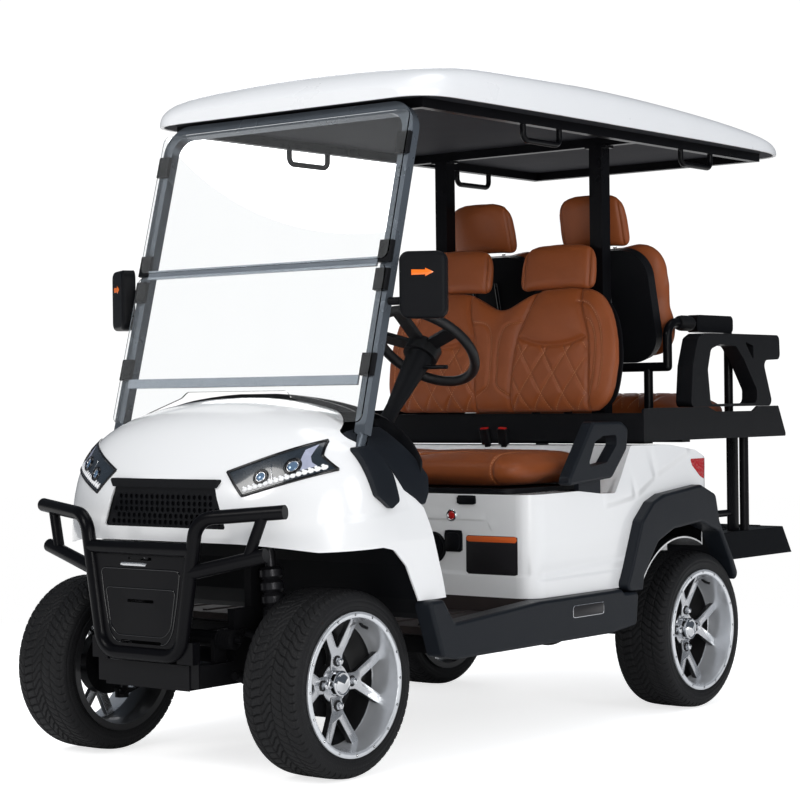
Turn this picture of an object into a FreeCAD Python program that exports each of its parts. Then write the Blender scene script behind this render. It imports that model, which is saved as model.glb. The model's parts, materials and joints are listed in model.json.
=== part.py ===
import FreeCAD
import Part
import math
import os

V = FreeCAD.Vector

# Four-seat golf cart in millimetres. Forward is -Y, the driver's side is +X, up is +Z.
# The origin is the middle of the footprint, on the ground.

# Layout
wheelbase = 1650.0
front_overhang = 282.0
body_front = 765.0
body_length = 1020.0
step_reach = 730.0
front_wheel_x = 433.0
rear_wheel_x = 511.0
body_half_width = 565.0
sill_stand = 37.0
fit_gap = 0.4
seat_gap = 0.3
cut_overrun = 60.0
corner_limit_share = 0.45

sill_half_width = body_half_width + sill_stand
body_rear = body_front + body_length - wheelbase
rear_overhang = body_rear + step_reach
overall_length = front_overhang + wheelbase + rear_overhang
front_axle_y = front_overhang - overall_length / 2
rear_axle_y = front_axle_y + wheelbase

# Tyres
tyre_radius = 250.0
tyre_width = 188.0
bead_radius = 178.0
tyre_section_shares = (
    (0.84, 0.0), (0.90, 0.10), (0.955, 0.22), (1.0, 0.50), (0.95, 0.80), (0.80, 0.955), (0.45, 1.0),
)

# Rims
rim_width = 195.0
rim_flange_radius = 192.6
rim_flange_thickness = 8.0
rim_wall = 5.0
rim_drop = 10.0
spoke_recess = 62.0
spoke_thickness = 20.0
spoke_width = 20.0
spoke_pairs = 4
spoke_stem_width = 40.0
spoke_crotch_radius = 92.0
spoke_root_radius = 84.0
spoke_root_angle = 6.8
spoke_tip_angle = 19.5
hub_radius = 52.0
hub_depth = 34.0
cap_radius = 31.0
cap_height = 14.0
spindle_radius = 14.0
spindle_length = 36.0

# Kingpins, knuckles and brakes
kingpin_x = 350.0
kingpin_radius = 16.0
kingpin_low_z = 178.0
kingpin_high_z = 322.0
drum_radius = 92.0
drum_width = 34.0
carrier_radius = 34.0
steer_arm_length = 72.0
steer_arm_width = 20.0
steer_arm_thickness = 14.0

# Floor and rockers
floor_front = 318.0
floor_side_gap = 19.0
floor_top_z = 372.0
floor_thickness = 20.0
floor_half = body_half_width - floor_side_gap
rib_count = 9
rib_width = 16.0
rib_height = 4.0
kick_plate = 5.0
rocker_front = 226.0
rocker_behind = 519.0
rocker_length = body_front + rocker_behind - rocker_front
rocker_low_z = 286.0
rocker_inner_x = floor_half + fit_gap
rocker_edge = 10.0
rocker_shares = (
    (0.000, 1.000), (0.062, 1.000), (0.110, 0.600), (0.500, 0.755), (0.905, 0.763), (0.918, 0.690),
    (0.995, 0.690), (0.982, 0.082), (0.856, 0.000),
    (0.115, 0.000), (0.056, 0.076),
)
rocker_corner = 16.0

# Chassis rails and cross members
rail_x = 170.0
rail_width = 40.0
rail_depth = 60.0
rail_mid_z = floor_top_z - floor_thickness - seat_gap - rail_depth
rail_front_z = 240.0
rail_rear_z = 352.0
rail_front_end = 235.0
rail_front_kick = 270.0
rail_rear_kick = 400.0
rail_kick_length = 60.0
rail_rear_end = 735.0
cross_width = 50.0
cross_depth = 44.0
outrigger_width = 40.0
outrigger_front = 400.0
outrigger_rear = 450.0
tower_top_z = 606.0
tower_half_length = 34.0
tower_plate_half = 102.0
tower_plate_z = 440.0
tower_thickness = 24.0
tower_cap = 8.0
tower_reach = 78.0

# Front suspension
arm_radius = 12.0
arm_boss_radius = 20.0
arm_boss_height = 26.0
lower_arm_spread = 105.0
upper_arm_spread = 78.0
lower_arm_pivot_z = 262.0
upper_arm_pivot_z = 375.0
shock_low_x = 268.0
shock_high_x = 226.0
shock_low_z = 212.0
shock_body_radius = 16.0
spring_radius = 33.0
spring_wire = 8.0
spring_turns = 8
shock_eye_share = 0.14

# Steering rack
rack_ahead = 130.0
rack_z = 362.0
rack_radius = 22.0
rack_half = 165.0
bellows_radius = 27.0
bellows_length = 58.0
bellows_folds = 6
tie_rod_radius = 8.0
tie_rod_length = 20.0

# Rear axle, springs and drive block
axle_tube_radius = 34.0
diff_radius = 88.0
diff_width = 150.0
leaf_x = 268.0
leaf_width = 50.0
leaf_thickness = 7.0
leaf_count = 4
leaf_half = 300.0
leaf_sag = 46.0
motor_radius = 82.0
motor_length = 210.0
battery_half_width = 300.0
battery_length = 360.0
battery_height = 250.0

# Brush guard and skid box
guard_tube = 19.0
guard_bend = 46.0
guard_top_half = 195.0
guard_low_half = 147.0
guard_top_z = 608.0
guard_low_z = 324.0
guard_wing_rise = 84.0
guard_wing_half = 459.0
guard_wing_z = 712.0
guard_wing_back = 70.0
guard_wing_bend = 62.0
guard_low_wing_half = 411.0
guard_low_wing_z = 600.0
guard_low_wing_start_z = 548.0
guard_low_wing_back = 48.0
guard_strut_tube = 15.0
guard_strut_share = 0.76
guard_plate_thickness = 5.0
guard_slot_height = 9.0
guard_slot_rows_shares = ((0.90, 0.30), (0.50, 0.34), (0.11, 0.52))
skid_half = 158.0
skid_length = 96.0
skid_low_z = 232.0
skid_high_z = 300.0
skid_wall = 6.0

# Front cowl: the hood and both front fenders
cowl_nose_ahead = 175.0
cowl_length = 528.0
cowl_low_z = 455.0
cowl_height = 555.0
cowl_wall = 5.0
cowl_station_shares = (
    (0.000, 0.455, 0.609), (0.022, 0.560, 0.640), (0.075, 0.672, 0.715), (0.150, 0.783, 0.812),
    (0.250, 0.892, 0.900), (0.380, 0.968, 0.960), (0.530, 0.996, 0.992), (0.680, 1.000, 1.000),
    (1.001, 0.992, 1.002),
)
cowl_section_shares = (
    (1.000, 0.300), (0.988, 0.480), (0.962, 0.600), (0.920, 0.700), (0.850, 0.786), (0.710, 0.880),
    (0.500, 0.948), (0.250, 0.988), (0.000, 1.000),
)
cowl_under_shares = (
    (-0.076, -0.063), (-0.076, 0.301), (0.000, 0.301), (0.189, 0.261), (0.489, 0.274),
    (0.568, 0.258), (0.663, 0.175), (0.756, 0.005), (0.765, -0.063),
)
cowl_rear_shares = (
    (1.061, -0.063), (1.000, 0.000), (0.926, 0.180), (0.869, 0.335), (0.812, 0.454),
    (0.756, 0.497), (0.676, 0.542), (0.568, 0.712), (0.422, 0.818), (0.568, 0.883), (0.672, 0.932),
    (0.672, 1.054), (1.061, 1.054),
)
cowl_corner = 30.0
liner_line_shares = (
    (0.040, 0.312), (0.590, 0.312), (0.700, 0.175), (0.775, 0.005), (0.832, -0.072), (0.858, -0.099),
)
liner_wall = 4.0
lamp_outline_shares = (
    (0.370, 0.642), (0.483, 0.526), (0.861, 0.651), (0.782, 0.719), (0.761, 0.793),
)
lamp_depth_share = 0.38
lamp_corner = 3.0
lamp_thickness = 34.0
grille_outline_shares = ((-0.407, 0.368), (0.407, 0.368), (0.338, 0.564), (-0.338, 0.564))
grille_bar_shares = ((-0.345, 0.564), (0.345, 0.564), (0.365, 0.606), (-0.365, 0.606))
grille_corner = 6.0
grille_recess = 8.0
grille_thickness = 12.0
grille_hole = 15.0
grille_web = 5.0
grille_hole_depth = 7.0

rocker_height = cowl_low_z - rocker_low_z - seat_gap

# Dash, knee pads and pedals
dash_front = 24.0
dash_length = 350.0
dash_low_z = floor_top_z + seat_gap
dash_height = 640.0
dash_side_gap = 20.0
dash_half = body_half_width - dash_side_gap
dash_wall = 8.0
dash_rise = 12.0
dash_line_shares = (
    (0.606, 0.930), (0.620, 0.985), (0.680, 1.012), (0.780, 0.985), (0.863, 0.900), (0.851, 0.669),
    (0.757, 0.512), (0.714, 0.294), (0.829, 0.106), (0.990, 0.000),
)
knee_outline_shares = (
    (0.209, 0.839), (0.429, 0.895), (0.586, 0.937), (0.660, 0.900), (0.760, 0.790), (0.906, 0.653),
    (0.871, 0.583), (0.797, 0.523), (0.711, 0.561), (0.591, 0.600), (0.429, 0.747),
)
knee_depth = 125.0
knee_inner_x = body_half_width - knee_depth
knee_inset = 2.0
knee_screen_gap = 3.0
knee_corner = 16.0
pedal_width = 70.0
pedal_height = 105.0
pedal_drop = 40.0
pedal_thickness = 14.0
pedal_arm = 12.0
accelerator_x = 330.0
brake_x = 225.0

# Windshield frame and panes
screen_base_x = 492.0
screen_base_ahead = -58.0
screen_base_z = 846.0
screen_foot_x = 463.0
screen_foot_behind = 118.0
screen_foot_z = 905.0
screen_top_behind = 362.0
screen_top_z = 1812.0
screen_tube_width = 36.0
screen_tube_depth = 30.0
screen_bend = 70.0
pane_thickness = 5.0
pane_half = 476.0
pane_standoff = 12.0
pane_hinge_z = 1371.0
pane_low_z = 932.0
pane_top_z = 1796.0
pane_split = 14.0
pane_corner = 22.0
pane_low_shares = ((0.86, 0.00), (0.60, 0.10), (0.44, 0.16), (0.40, 0.20), (0.0, 0.22))
pane_rail_height = 26.0
pane_rail_thickness = 7.0
pane_low_rail_z = 1034.0
clamp_width = 44.0
clamp_height = 60.0
clamp_depth = 20.0
clamp_zs = (1322.0, 1090.0, 1704.0, 1400.0)
cover_outline_shares = (
    (0.407, 0.751), (0.511, 0.762), (0.587, 0.622), (0.600, 0.492), (0.530, 0.456), (0.445, 0.523),
)
cover_reach = 91.0
cover_inner_x = body_half_width - cover_reach
cover_thickness = 14.0
cover_corner = 12.0

# Roof
roof_half = 553.0
roof_front_behind = 314.0
roof_length = 2116.0
roof_edge_z = 1838.0
roof_crown = 146.0
roof_wall = 8.0
roof_station_shares = (
    (0.000, 0.800, 0.260), (0.010, 0.905, 0.430), (0.030, 0.965, 0.620), (0.075, 0.990, 0.820),
    (0.200, 1.000, 0.960), (0.420, 1.000, 1.000), (0.700, 0.992, 0.860), (0.880, 0.972, 0.640),
    (0.950, 0.935, 0.480), (0.985, 0.860, 0.340), (1.000, 0.740, 0.200),
)
roof_section_shares = (
    (1.000, 0.000), (1.000, 0.200), (0.985, 0.440), (0.945, 0.640), (0.870, 0.780), (0.740, 0.870),
    (0.520, 0.940), (0.260, 0.985), (0.000, 1.000),
)
liner_drop = 3.0
liner_thickness = 5.0
roof_rail_x = 462.0
roof_rail_size = 28.0
roof_rail_rear = 640.0
grab_tube = 9.0
grab_length = 190.0
grab_drop = 46.0
grab_bend = 22.0
grab_front_behind = 980.0
grab_rear_behind = 230.0

# Rear roof posts and seat back frame
post_x = 315.0
post_ahead = 130.0
post_tube = 24.0
post_foot = 80.0
post_foot_thickness = 6.0
back_bar_zs = (1060.0, 1230.0)
back_bar_tube = 14.0
back_pad_x = 205.0
back_pad_size = 90.0
post_brace = 60.0

# Rear body
body_low_z = 415.0
body_height = 435.0
body_wall = 5.0
body_corner = 62.0
body_side_shares = (
    (-0.060, 0.000), (1.060, 0.000), (1.060, 0.560), (0.992, 0.860), (0.900, 0.945),
    (0.752, 0.991), (0.520, 0.998), (0.462, 0.770), (0.431, 0.668), (0.353, 0.672), (0.233, 0.700),
    (-0.060, 0.692),
)
body_side_corner = 14.0
well_inner_x = 392.0
well_radius = 292.0
hatch_half = 440.0
hatch_front_share = 0.07
hatch_rear_share = 0.47
flare_outer_shares = (
    (-1.782, 0.618), (-1.643, 0.888), (-1.390, 1.467), (-1.133, 1.688), (-0.876, 1.775),
    (0.038, 1.861), (0.405, 1.723), (0.499, 1.372), (0.842, 0.864), (1.001, 0.580),
)
flare_arch_shares = (
    (-1.451, 0.312), (-1.345, 0.808), (-1.014, 1.184), (-0.631, 1.328), (0.030, 1.380),
    (0.495, 1.232), (0.740, 0.864), (1.009, 0.312),
)
flare_edge = 9.0
flare_corner = 26.0
tail_outline_shares = (
    (0.867, 0.880), (0.966, 0.880), (0.978, 0.848), (0.952, 0.724), (0.927, 0.747), (0.879, 0.830),
)
tail_depth = 34.0
tail_corner = 5.0

# Front seat
pan_thickness = 14.0
pan_half = 480.0
pan_front_inset = 6.0
cushion_half = 505.0
cushion_length_share = 0.441
cushion_length = body_length * cushion_length_share
cushion_height = 112.0
cushion_corner = 44.0
backrest_low_z = 942.0
backrest_high_z = 1348.0
backrest_half = 458.0
backrest_depth = 84.0
backrest_line_shares = (
    (0.93, 0.000), (1.00, 0.200), (1.00, 0.450), (0.940, 0.760), (0.820, 0.945), (0.640, 1.000),
    (0.300, 0.985), (0.140, 0.900), (0.000, 0.853),
)
backrest_corner = 30.0
backrest_tilt = 9.0
stem_radius = 6.0
rear_back_tilt = 14.0
headrest_half = 145.0
headrest_height = 146.0
headrest_depth = 62.0
headrest_corner = 34.0
head_gap = 6.0
handle_outer_shares = (
    (0.006, 0.000), (0.000, 0.110), (0.367, 0.931), (0.404, 1.000), (0.887, 0.989), (1.000, 0.883),
    (0.969, 0.537), (0.713, 0.080),
)
handle_inner_shares = (
    (0.297, 0.271), (0.425, 0.681), (0.550, 0.766), (0.786, 0.782), (0.783, 0.612), (0.615, 0.335),
)
handle_front_share = 0.1681
handle_length_share = 0.3206
handle_low_share = 0.7425
handle_front = body_front + body_length * handle_front_share
handle_length = body_length * handle_length_share
handle_low_z = body_low_z + body_height * handle_low_share
handle_height = 188.0
handle_side_gap = 25.0
handle_inner_x = body_half_width - handle_side_gap
handle_thickness = 40.0
handle_corner = 24.0
handle_edge = 9.0
handle_foot_shares = (0.21, 0.40, 0.57)

# Rear seat, its tray and armrests
tray_front = 400.0
tray_length = 924.0
tray_low_z = 859.0
tray_height = 121.0
tray_side_gap = 7.0
tray_half = body_half_width - tray_side_gap
tray_wall = 8.0
tray_side_shares = (
    (0.000, 0.000), (1.000, 0.000), (0.940, 0.868), (0.785, 0.868), (0.750, 0.735), (0.485, 0.735),
    (0.430, 0.868), (0.100, 0.868), (0.000, 0.850),
)
tray_corner = 8.0
tray_front_share = 0.74
tray_bar_width = 50.0
tray_bar_aheads = (305.0, 75.0)
rear_cushion_half = 420.0
rear_cushion_ahead = 29.0
rear_cushion_length = 430.0
rear_cushion_height = 152.0
rear_cushion_corner = 40.0
shell_half = 205.0
shell_x = 226.0
shell_ahead = 95.0
shell_low_z = 1122.0
shell_high_z = 1500.0
shell_depth = 40.0
shell_corner = 96.0
rear_back_depth = 130.0
rear_back_stand = 8.0
rear_head_half = 132.0
rear_head_height = 178.0
rear_head_depth = 66.0
rear_post_tube = 15.0
arm_outer_shares = (
    (0.000, 0.000), (0.025, 0.558), (0.082, 0.927), (0.145, 0.993), (0.450, 1.000), (0.992, 1.000),
    (1.000, 0.658), (0.800, 0.640), (0.910, 0.000),
)
arm_inner_shares = (
    (0.212, 0.030), (0.184, 0.505), (0.219, 0.781), (0.318, 0.853), (0.493, 0.831), (0.582, 0.650),
    (0.726, 0.225), (0.724, 0.040),
)
arm_notch_shares = ((0.590, 0.900), (0.690, 0.840), (0.690, 0.640))
arm_ahead = 113.5
arm_length = 598.0
arm_height = 242.0
arm_width = 58.0
arm_inner_x = tray_half - arm_width
arm_corner = 20.0
arm_notch_corner = 4.0
hoop_side_gap = 40.0
hoop_z = 1241.0
hoop_behind = 300.0
hoop_bend = 45.0
hoop_pad_start = 62.0
hoop_pad_width = 40.0
hoop_pad_height = 58.0
hoop_pad_corner = 18.0

# Step
step_half = 450.0
step_length = 500.0
step_high_z = 533.0
step_low_z = 442.0
step_flare = 22.0
step_corner = 26.0
step_wall = 10.0
step_rib_count = 6
step_rib_width = 14.0
step_rib_height = 4.0
step_post_x = 430.0
step_post_behind = 452.0
step_post_tube = 16.0
step_plate_x = 400.0
step_plate_behind = 391.0
step_plate_length = 68.0
step_plate_thickness = 8.0
step_brace_z = 594.0
step_brace_tube = 12.0

# Steering column and wheel
column_x = 280.0
column_low_behind = 268.0
column_low_z = 728.0
column_high_behind = 606.0
column_high_z = 1122.0
column_radius = 22.0
boot_radius = 46.0
boot_length = 70.0
shroud_radius = 40.0
shroud_length = 190.0
stalk_length = 120.0
stalk_radius = 6.0
steer_wheel_radius = 172.0
steer_rim_tube = 15.0
steer_hub_radius = 52.0
steer_hub_height = 42.0
steer_spoke_width = 40.0
steer_spoke_thickness = 14.0
steer_spoke_angles = (205.0, 335.0, 270.0)

# Mirrors
mirror_x = 578.0
mirror_behind = 246.0
mirror_z = 1309.0
mirror_width = 130.0
mirror_height = 182.0
mirror_depth = 42.0
mirror_corner = 26.0
mirror_edge = 12.0
mirror_yaw = 30.0
mirror_arm = 11.0
mirror_arm_drop = 42.0

origin = V(0, 0, 0)
axis_x = V(1, 0, 0)
axis_y = V(0, 1, 0)
axis_z = V(0, 0, 1)


def fy(behind):
    return front_axle_y + behind


def ry(behind):
    return rear_axle_y + behind


def by(behind):
    return rear_axle_y + body_rear + behind


def box(x0, x1, y0, y1, z0, z1):
    return Part.makeBox(x1 - x0, y1 - y0, z1 - z0, V(x0, y0, z0))


def rod(start, end, radius):
    way = end.sub(start)
    return Part.makeCylinder(radius, way.Length, start, way)


def spread(shares, u0, du, v0, dv):
    return [(u0 + a * du, v0 + b * dv) for a, b in shares]


def mirrored(shape):
    return shape.mirror(origin, axis_x)


def both(shape):
    return Part.makeCompound([shape, mirrored(shape)])


def rounded_wire(points, radius, place):
    """A closed polygon with every corner turned into a tangent arc, no longer than its sides allow."""
    corners = [place(u, v) for u, v in points]
    count = len(corners)
    cuts = []
    for i, here in enumerate(corners):
        back = corners[i - 1].sub(here)
        ahead = corners[(i + 1) % count].sub(here)
        half = back.getAngle(ahead) / 2
        longest = corner_limit_share * min(back.Length, ahead.Length)
        reach = min(radius / math.tan(half), longest) if radius else 0
        middle = None
        if reach:
            first = here.add(V(back).normalize().multiply(reach))
            last = here.add(V(ahead).normalize().multiply(reach))
            turn = reach * math.tan(half)
            inward = V(back).normalize().add(V(ahead).normalize()).normalize()
            centre = here.add(inward.multiply(math.hypot(turn, reach)))
            middle = centre.add(here.sub(centre).normalize().multiply(turn))
        else:
            first = here
            last = here
        cuts.append((first, middle, last))
    edges = []
    for i, (first, middle, last) in enumerate(cuts):
        if middle is not None:
            edges.append(Part.Arc(first, middle, last).toShape())
        start = last
        end = cuts[(i + 1) % count][0]
        edges.append(Part.LineSegment(start, end).toShape())
    return Part.Wire(edges)


def slab_yz(points, radius, x0, x1):
    wire = rounded_wire(points, radius, lambda u, v: V(x0, u, v))
    return Part.Face(wire).extrude(V(x1 - x0, 0, 0))


def slab_xz(points, radius, y0, y1):
    wire = rounded_wire(points, radius, lambda u, v: V(u, y0, v))
    return Part.Face(wire).extrude(V(0, y1 - y0, 0))


def slab_xy(points, radius, z0, z1):
    wire = rounded_wire(points, radius, lambda u, v: V(u, v, z0))
    return Part.Face(wire).extrude(V(0, 0, z1 - z0))


def rectangle(u0, u1, v0, v1):
    return [(u0, v0), (u1, v0), (u1, v1), (u0, v1)]


def route(points, bend):
    """An open path of straight runs joined by tangent arcs of one bend radius."""
    edges = []
    start = points[0]
    for i in range(1, len(points) - 1):
        here = points[i]
        back = points[i - 1].sub(here)
        ahead = points[i + 1].sub(here)
        half = back.getAngle(ahead) / 2
        longest = corner_limit_share * min(back.Length, ahead.Length)
        reach = min(bend / math.tan(half), longest)
        turn = reach * math.tan(half)
        first = here.add(V(back).normalize().multiply(reach))
        last = here.add(V(ahead).normalize().multiply(reach))
        inward = V(back).normalize().add(V(ahead).normalize()).normalize()
        centre = here.add(inward.multiply(math.hypot(turn, reach)))
        middle = centre.add(here.sub(centre).normalize().multiply(turn))
        edges.append(Part.LineSegment(start, first).toShape())
        edges.append(Part.Arc(first, middle, last).toShape())
        start = last
    edges.append(Part.LineSegment(start, points[-1]).toShape())
    return Part.Wire(edges)


def tube(points, radius, bend):
    if len(points) == len("ab"):
        return rod(points[0], points[1], radius)
    path = route(points, bend)
    way = points[1].sub(points[0])
    ring = Part.Wire([Part.Circle(points[0], way, radius).toShape()])
    return path.makePipeShell([ring], True, True)


def revolved(points, start, way):
    """A closed (along, radius) polygon turned about an axis that starts at a point."""
    wire = Part.makePolygon([V(a, r, 0) for a, r in points + points[:1]])
    solid = Part.Face(wire).revolve(origin, axis_x, 360)
    turn = FreeCAD.Rotation(axis_x, way)
    solid.Placement = FreeCAD.Placement(start, turn)
    return solid


def loft_stations(stations, section, half, low_z, height, y0, length, inset):
    """A loft along Y through crowned sections; inset draws every face inward."""
    wires = []
    for along, wide, tall in stations:
        y = y0 + along * length
        w = half * wide - inset
        h = height * tall - inset
        right = [V(a * w, y, low_z + b * h) for a, b in section]
        left = [V(-p.x, y, p.z) for p in reversed(right[:-1])]
        crown = Part.BSplineCurve()
        crown.interpolate(right + left)
        foot_right = V(w, y, low_z)
        foot_left = V(-w, y, low_z)
        edges = [crown.toShape()]
        if left[-1].z > low_z:
            edges.append(Part.LineSegment(left[-1], foot_left).toShape())
            edges.append(Part.LineSegment(foot_left, foot_right).toShape())
            edges.append(Part.LineSegment(foot_right, right[0]).toShape())
        else:
            edges.append(Part.LineSegment(left[-1], right[0]).toShape())
        wires.append(Part.Wire(edges))
    return Part.makeLoft(wires, True, False)


def edges_on_plane(shape, axis, value, reach):
    """Edges that lie in the plane across one axis, with the plane given within a small reach."""
    found = []
    for edge in shape.Edges:
        b = edge.BoundBox
        low = (b.XMin, b.YMin, b.ZMin)[axis]
        high = (b.XMax, b.YMax, b.ZMax)[axis]
        if abs(low - value) < reach and abs(high - value) < reach:
            found.append(edge)
    return found


def softened(shape, axis, value, radius):
    return shape.makeFillet(radius, edges_on_plane(shape, axis, value, fit_gap))


# Wheels


def tyre(side, wheel_x, wheel_y):
    half = tyre_width / 2
    rise = tyre_radius - bead_radius - fit_gap
    right = [(a * half, bead_radius + fit_gap + b * rise) for a, b in tyre_section_shares]
    left = [(-a, r) for a, r in reversed(right)]
    return revolved(right + left, V(side * wheel_x, wheel_y, tyre_radius), axis_x)


def spoke_arm(root_angle, tip_angle, x0, x1):
    """One tapered arm of a split spoke, from the hub to the inside of the barrel."""
    tip_radius = bead_radius - rim_wall
    root = V(0, math.cos(root_angle), math.sin(root_angle)).multiply(spoke_root_radius)
    tip = V(0, math.cos(tip_angle), math.sin(tip_angle)).multiply(tip_radius)
    way = tip.sub(root).normalize()
    across = axis_x.cross(way).multiply(spoke_width / 2)
    corners = [root.sub(across), tip.sub(across), tip.add(across), root.add(across)]
    wire = Part.makePolygon([p.add(V(x0, 0, 0)) for p in corners + corners[:1]])
    return Part.Face(wire).extrude(V(x1 - x0, 0, 0))


def spoke_stem(angle, x0, x1):
    """The straight foot of a split spoke, from the hub out to where its two arms part."""
    half = spoke_stem_width / 2
    stem = box(x0, x1, 0, spoke_crotch_radius, -half, half)
    stem.rotate(origin, axis_x, math.degrees(angle))
    return stem


def rim(side, wheel_x, wheel_y):
    half = rim_width / 2
    seat = half - rim_flange_thickness
    drop = bead_radius - rim_drop
    barrel = [
        (half, rim_flange_radius), (seat, rim_flange_radius), (seat, bead_radius),
        (seat - rim_flange_radius + bead_radius, bead_radius), (seat / 2, drop),
        (-seat / 2, drop), (rim_flange_radius - bead_radius - seat, bead_radius),
        (-seat, bead_radius), (-seat, rim_flange_radius), (-half, rim_flange_radius),
        (-half, bead_radius - rim_wall), (-seat / 2, drop - rim_wall),
        (seat / 2, drop - rim_wall), (half, bead_radius - rim_wall),
    ]
    solid = revolved(barrel, origin, axis_x)
    face = half - spoke_recess
    back = face - spoke_thickness
    arms = []
    for i in range(spoke_pairs):
        middle = 2 * math.pi * i / spoke_pairs
        arms.append(spoke_stem(middle, back, face))
        for way in (-1, 1):
            root = middle + way * math.radians(spoke_root_angle)
            tip = middle + way * math.radians(spoke_tip_angle)
            arms.append(spoke_arm(root, tip, back, face))
    hub_back = face - hub_depth
    hub = Part.makeCylinder(hub_radius, hub_depth, V(hub_back, 0, 0), axis_x)
    cap = Part.makeCylinder(cap_radius, cap_height, V(face, 0, 0), axis_x)
    barrel_inner = Part.makeCylinder(bead_radius - rim_wall + fit_gap, face - back, V(back, 0, 0), axis_x)
    star = hub.fuse(arms + [cap])
    star = star.common(barrel_inner.fuse([hub, cap]))
    solid = solid.fuse(star)
    bore_radius = spindle_radius + fit_gap
    bore_length = spindle_length + fit_gap
    solid = solid.cut(Part.makeCylinder(bore_radius, bore_length, V(hub_back, 0, 0), axis_x))
    solid = solid.removeSplitter()
    if side < 0:
        solid = mirrored(solid)
    solid.translate(V(side * wheel_x, wheel_y, tyre_radius))
    return solid


def hub_face_x(wheel_x):
    return wheel_x + rim_width / 2 - spoke_recess - hub_depth


def knuckle():
    """Left knuckle: kingpin barrel, hub carrier, brake drum, spindle and steering arm."""
    y = front_axle_y
    face = hub_face_x(front_wheel_x) - fit_gap
    pin = rod(V(kingpin_x, y, kingpin_low_z), V(kingpin_x, y, kingpin_high_z), kingpin_radius)
    carrier = rod(V(kingpin_x, y, tyre_radius), V(face, y, tyre_radius), carrier_radius)
    drum_start = V(face - drum_width, y, tyre_radius)
    drum = rod(drum_start, V(face, y, tyre_radius), drum_radius)
    spindle_end = V(face + spindle_length, y, tyre_radius)
    spindle = rod(V(face - drum_width, y, tyre_radius), spindle_end, spindle_radius)
    arm_z = kingpin_high_z - steer_arm_thickness
    arm = box(
        kingpin_x - steer_arm_width / 2, kingpin_x + steer_arm_width / 2,
        y - steer_arm_length, y, arm_z, kingpin_high_z,
    )
    end = Part.makeCylinder(
        steer_arm_width / 2, steer_arm_thickness, V(kingpin_x, y - steer_arm_length, arm_z),
    )
    return pin.fuse([carrier, drum, spindle, arm, end]).removeSplitter()


# Chassis and running gear


def rail():
    front = fy(-rail_front_end)
    kick = fy(rail_front_kick)
    rear_kick = ry(-rail_rear_kick)
    rear = ry(rail_rear_end)
    low = [
        (front, rail_front_z), (kick, rail_front_z), (kick + rail_kick_length, rail_mid_z),
        (rear_kick, rail_mid_z), (rear_kick + rail_kick_length, rail_rear_z), (rear, rail_rear_z),
    ]
    high = [(y, z + rail_depth) for y, z in reversed(low)]
    return slab_yz(low + high, 0, rail_x - rail_width / 2, rail_x + rail_width / 2)


def tower():
    y = front_axle_y
    inner = rail_x + rail_width / 2 - tower_thickness
    outer = rail_x + rail_width / 2
    base_z = rail_front_z + rail_depth
    plate = box(inner, outer, y - tower_plate_half, y + tower_plate_half, base_z, tower_plate_z)
    column = box(inner, outer, y - tower_half_length, y + tower_half_length, base_z, tower_top_z)
    cap = box(
        inner, inner + tower_reach + tower_thickness, y - tower_half_length, y + tower_half_length,
        tower_top_z, tower_top_z + tower_cap,
    )
    return plate.fuse([column, cap])


def cross_member(y, z):
    inner = rail_x
    return box(-inner, inner, y - cross_width / 2, y + cross_width / 2, z, z + cross_depth)


def rack_saddle():
    y = fy(-rack_ahead)
    low = rail_front_z + rail_depth
    inner = rail_x - rail_width / 2
    block = box(inner, rack_half - fit_gap, y - rack_radius, y + rack_radius, low, rack_z)
    return block.cut(rod(V(0, y, rack_z), V(rail_x + rail_width, y, rack_z), rack_radius + seat_gap))


def chassis_frame():
    rail_top = rail_mid_z + rail_depth
    halves = [rail(), tower(), rack_saddle()]
    for y in (ry(-wheelbase + outrigger_front), ry(-outrigger_rear)):
        inner = rail_x
        outer = floor_half - cross_depth
        halves.append(
            box(inner, outer, y - outrigger_width / 2, y + outrigger_width / 2,
                rail_mid_z, rail_mid_z + cross_depth)
        )
    pieces = halves + [mirrored(part) for part in halves]
    low = rail_front_z
    pieces.append(cross_member(fy(-rail_front_end) + skid_length + cross_width, low))
    pieces.append(cross_member(fy(rail_front_kick) - cross_width, low))
    pieces.append(cross_member(fy(body_front) + cross_width, rail_mid_z))
    pieces.append(cross_member(ry(-rail_rear_kick) - cross_width, rail_mid_z))
    pieces.append(cross_member(ry(rail_rear_kick), rail_rear_z))
    pieces.append(cross_member(ry(rail_rear_end) - cross_width / 2, rail_rear_z))
    pieces += [leaf_hanger(side, end) for side in (-1, 1) for end in (-1, 1)]
    return pieces[0].fuse(pieces[1:]).removeSplitter()


def leaf_hanger(side, end):
    """Bracket between a rail and one end of a leaf spring."""
    y = ry(end * leaf_half)
    z = leaf_eye_z()
    inner = rail_x
    outer = leaf_x + leaf_width / 2
    top = rail_rear_z + rail_depth
    plate = box(
        inner, outer, y - leaf_thickness, y + leaf_thickness, z + seat_gap, top,
    )
    return plate if side > 0 else mirrored(plate)


def leaf_eye_z():
    return axle_z_top() + leaf_count * leaf_thickness + leaf_sag


def axle_z_top():
    return tyre_radius + axle_tube_radius + seat_gap


def leaf_springs():
    """A stack of bowed leaves on the axle tube, each longer than the one below."""
    base = axle_z_top()
    solids = []
    stations = [-1, -3 / 4, -1 / 2, -1 / 4, 0, 1 / 4, 1 / 2, 3 / 4, 1]
    for i in range(leaf_count):
        z = base + i * leaf_thickness
        low = [(ry(a * leaf_half), z + leaf_sag * a * a) for a in stations]
        high = [(y, h + leaf_thickness) for y, h in reversed(low)]
        leaf = slab_yz(low + high, 0, leaf_x - leaf_width / 2, leaf_x + leaf_width / 2)
        reach = leaf_half * (i + 1) / leaf_count
        solids.append(leaf.common(box(0, body_half_width, ry(-reach), ry(reach), 0, roof_edge_z)))
    return solids[0].fuse(solids[1:]).removeSplitter()


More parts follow.
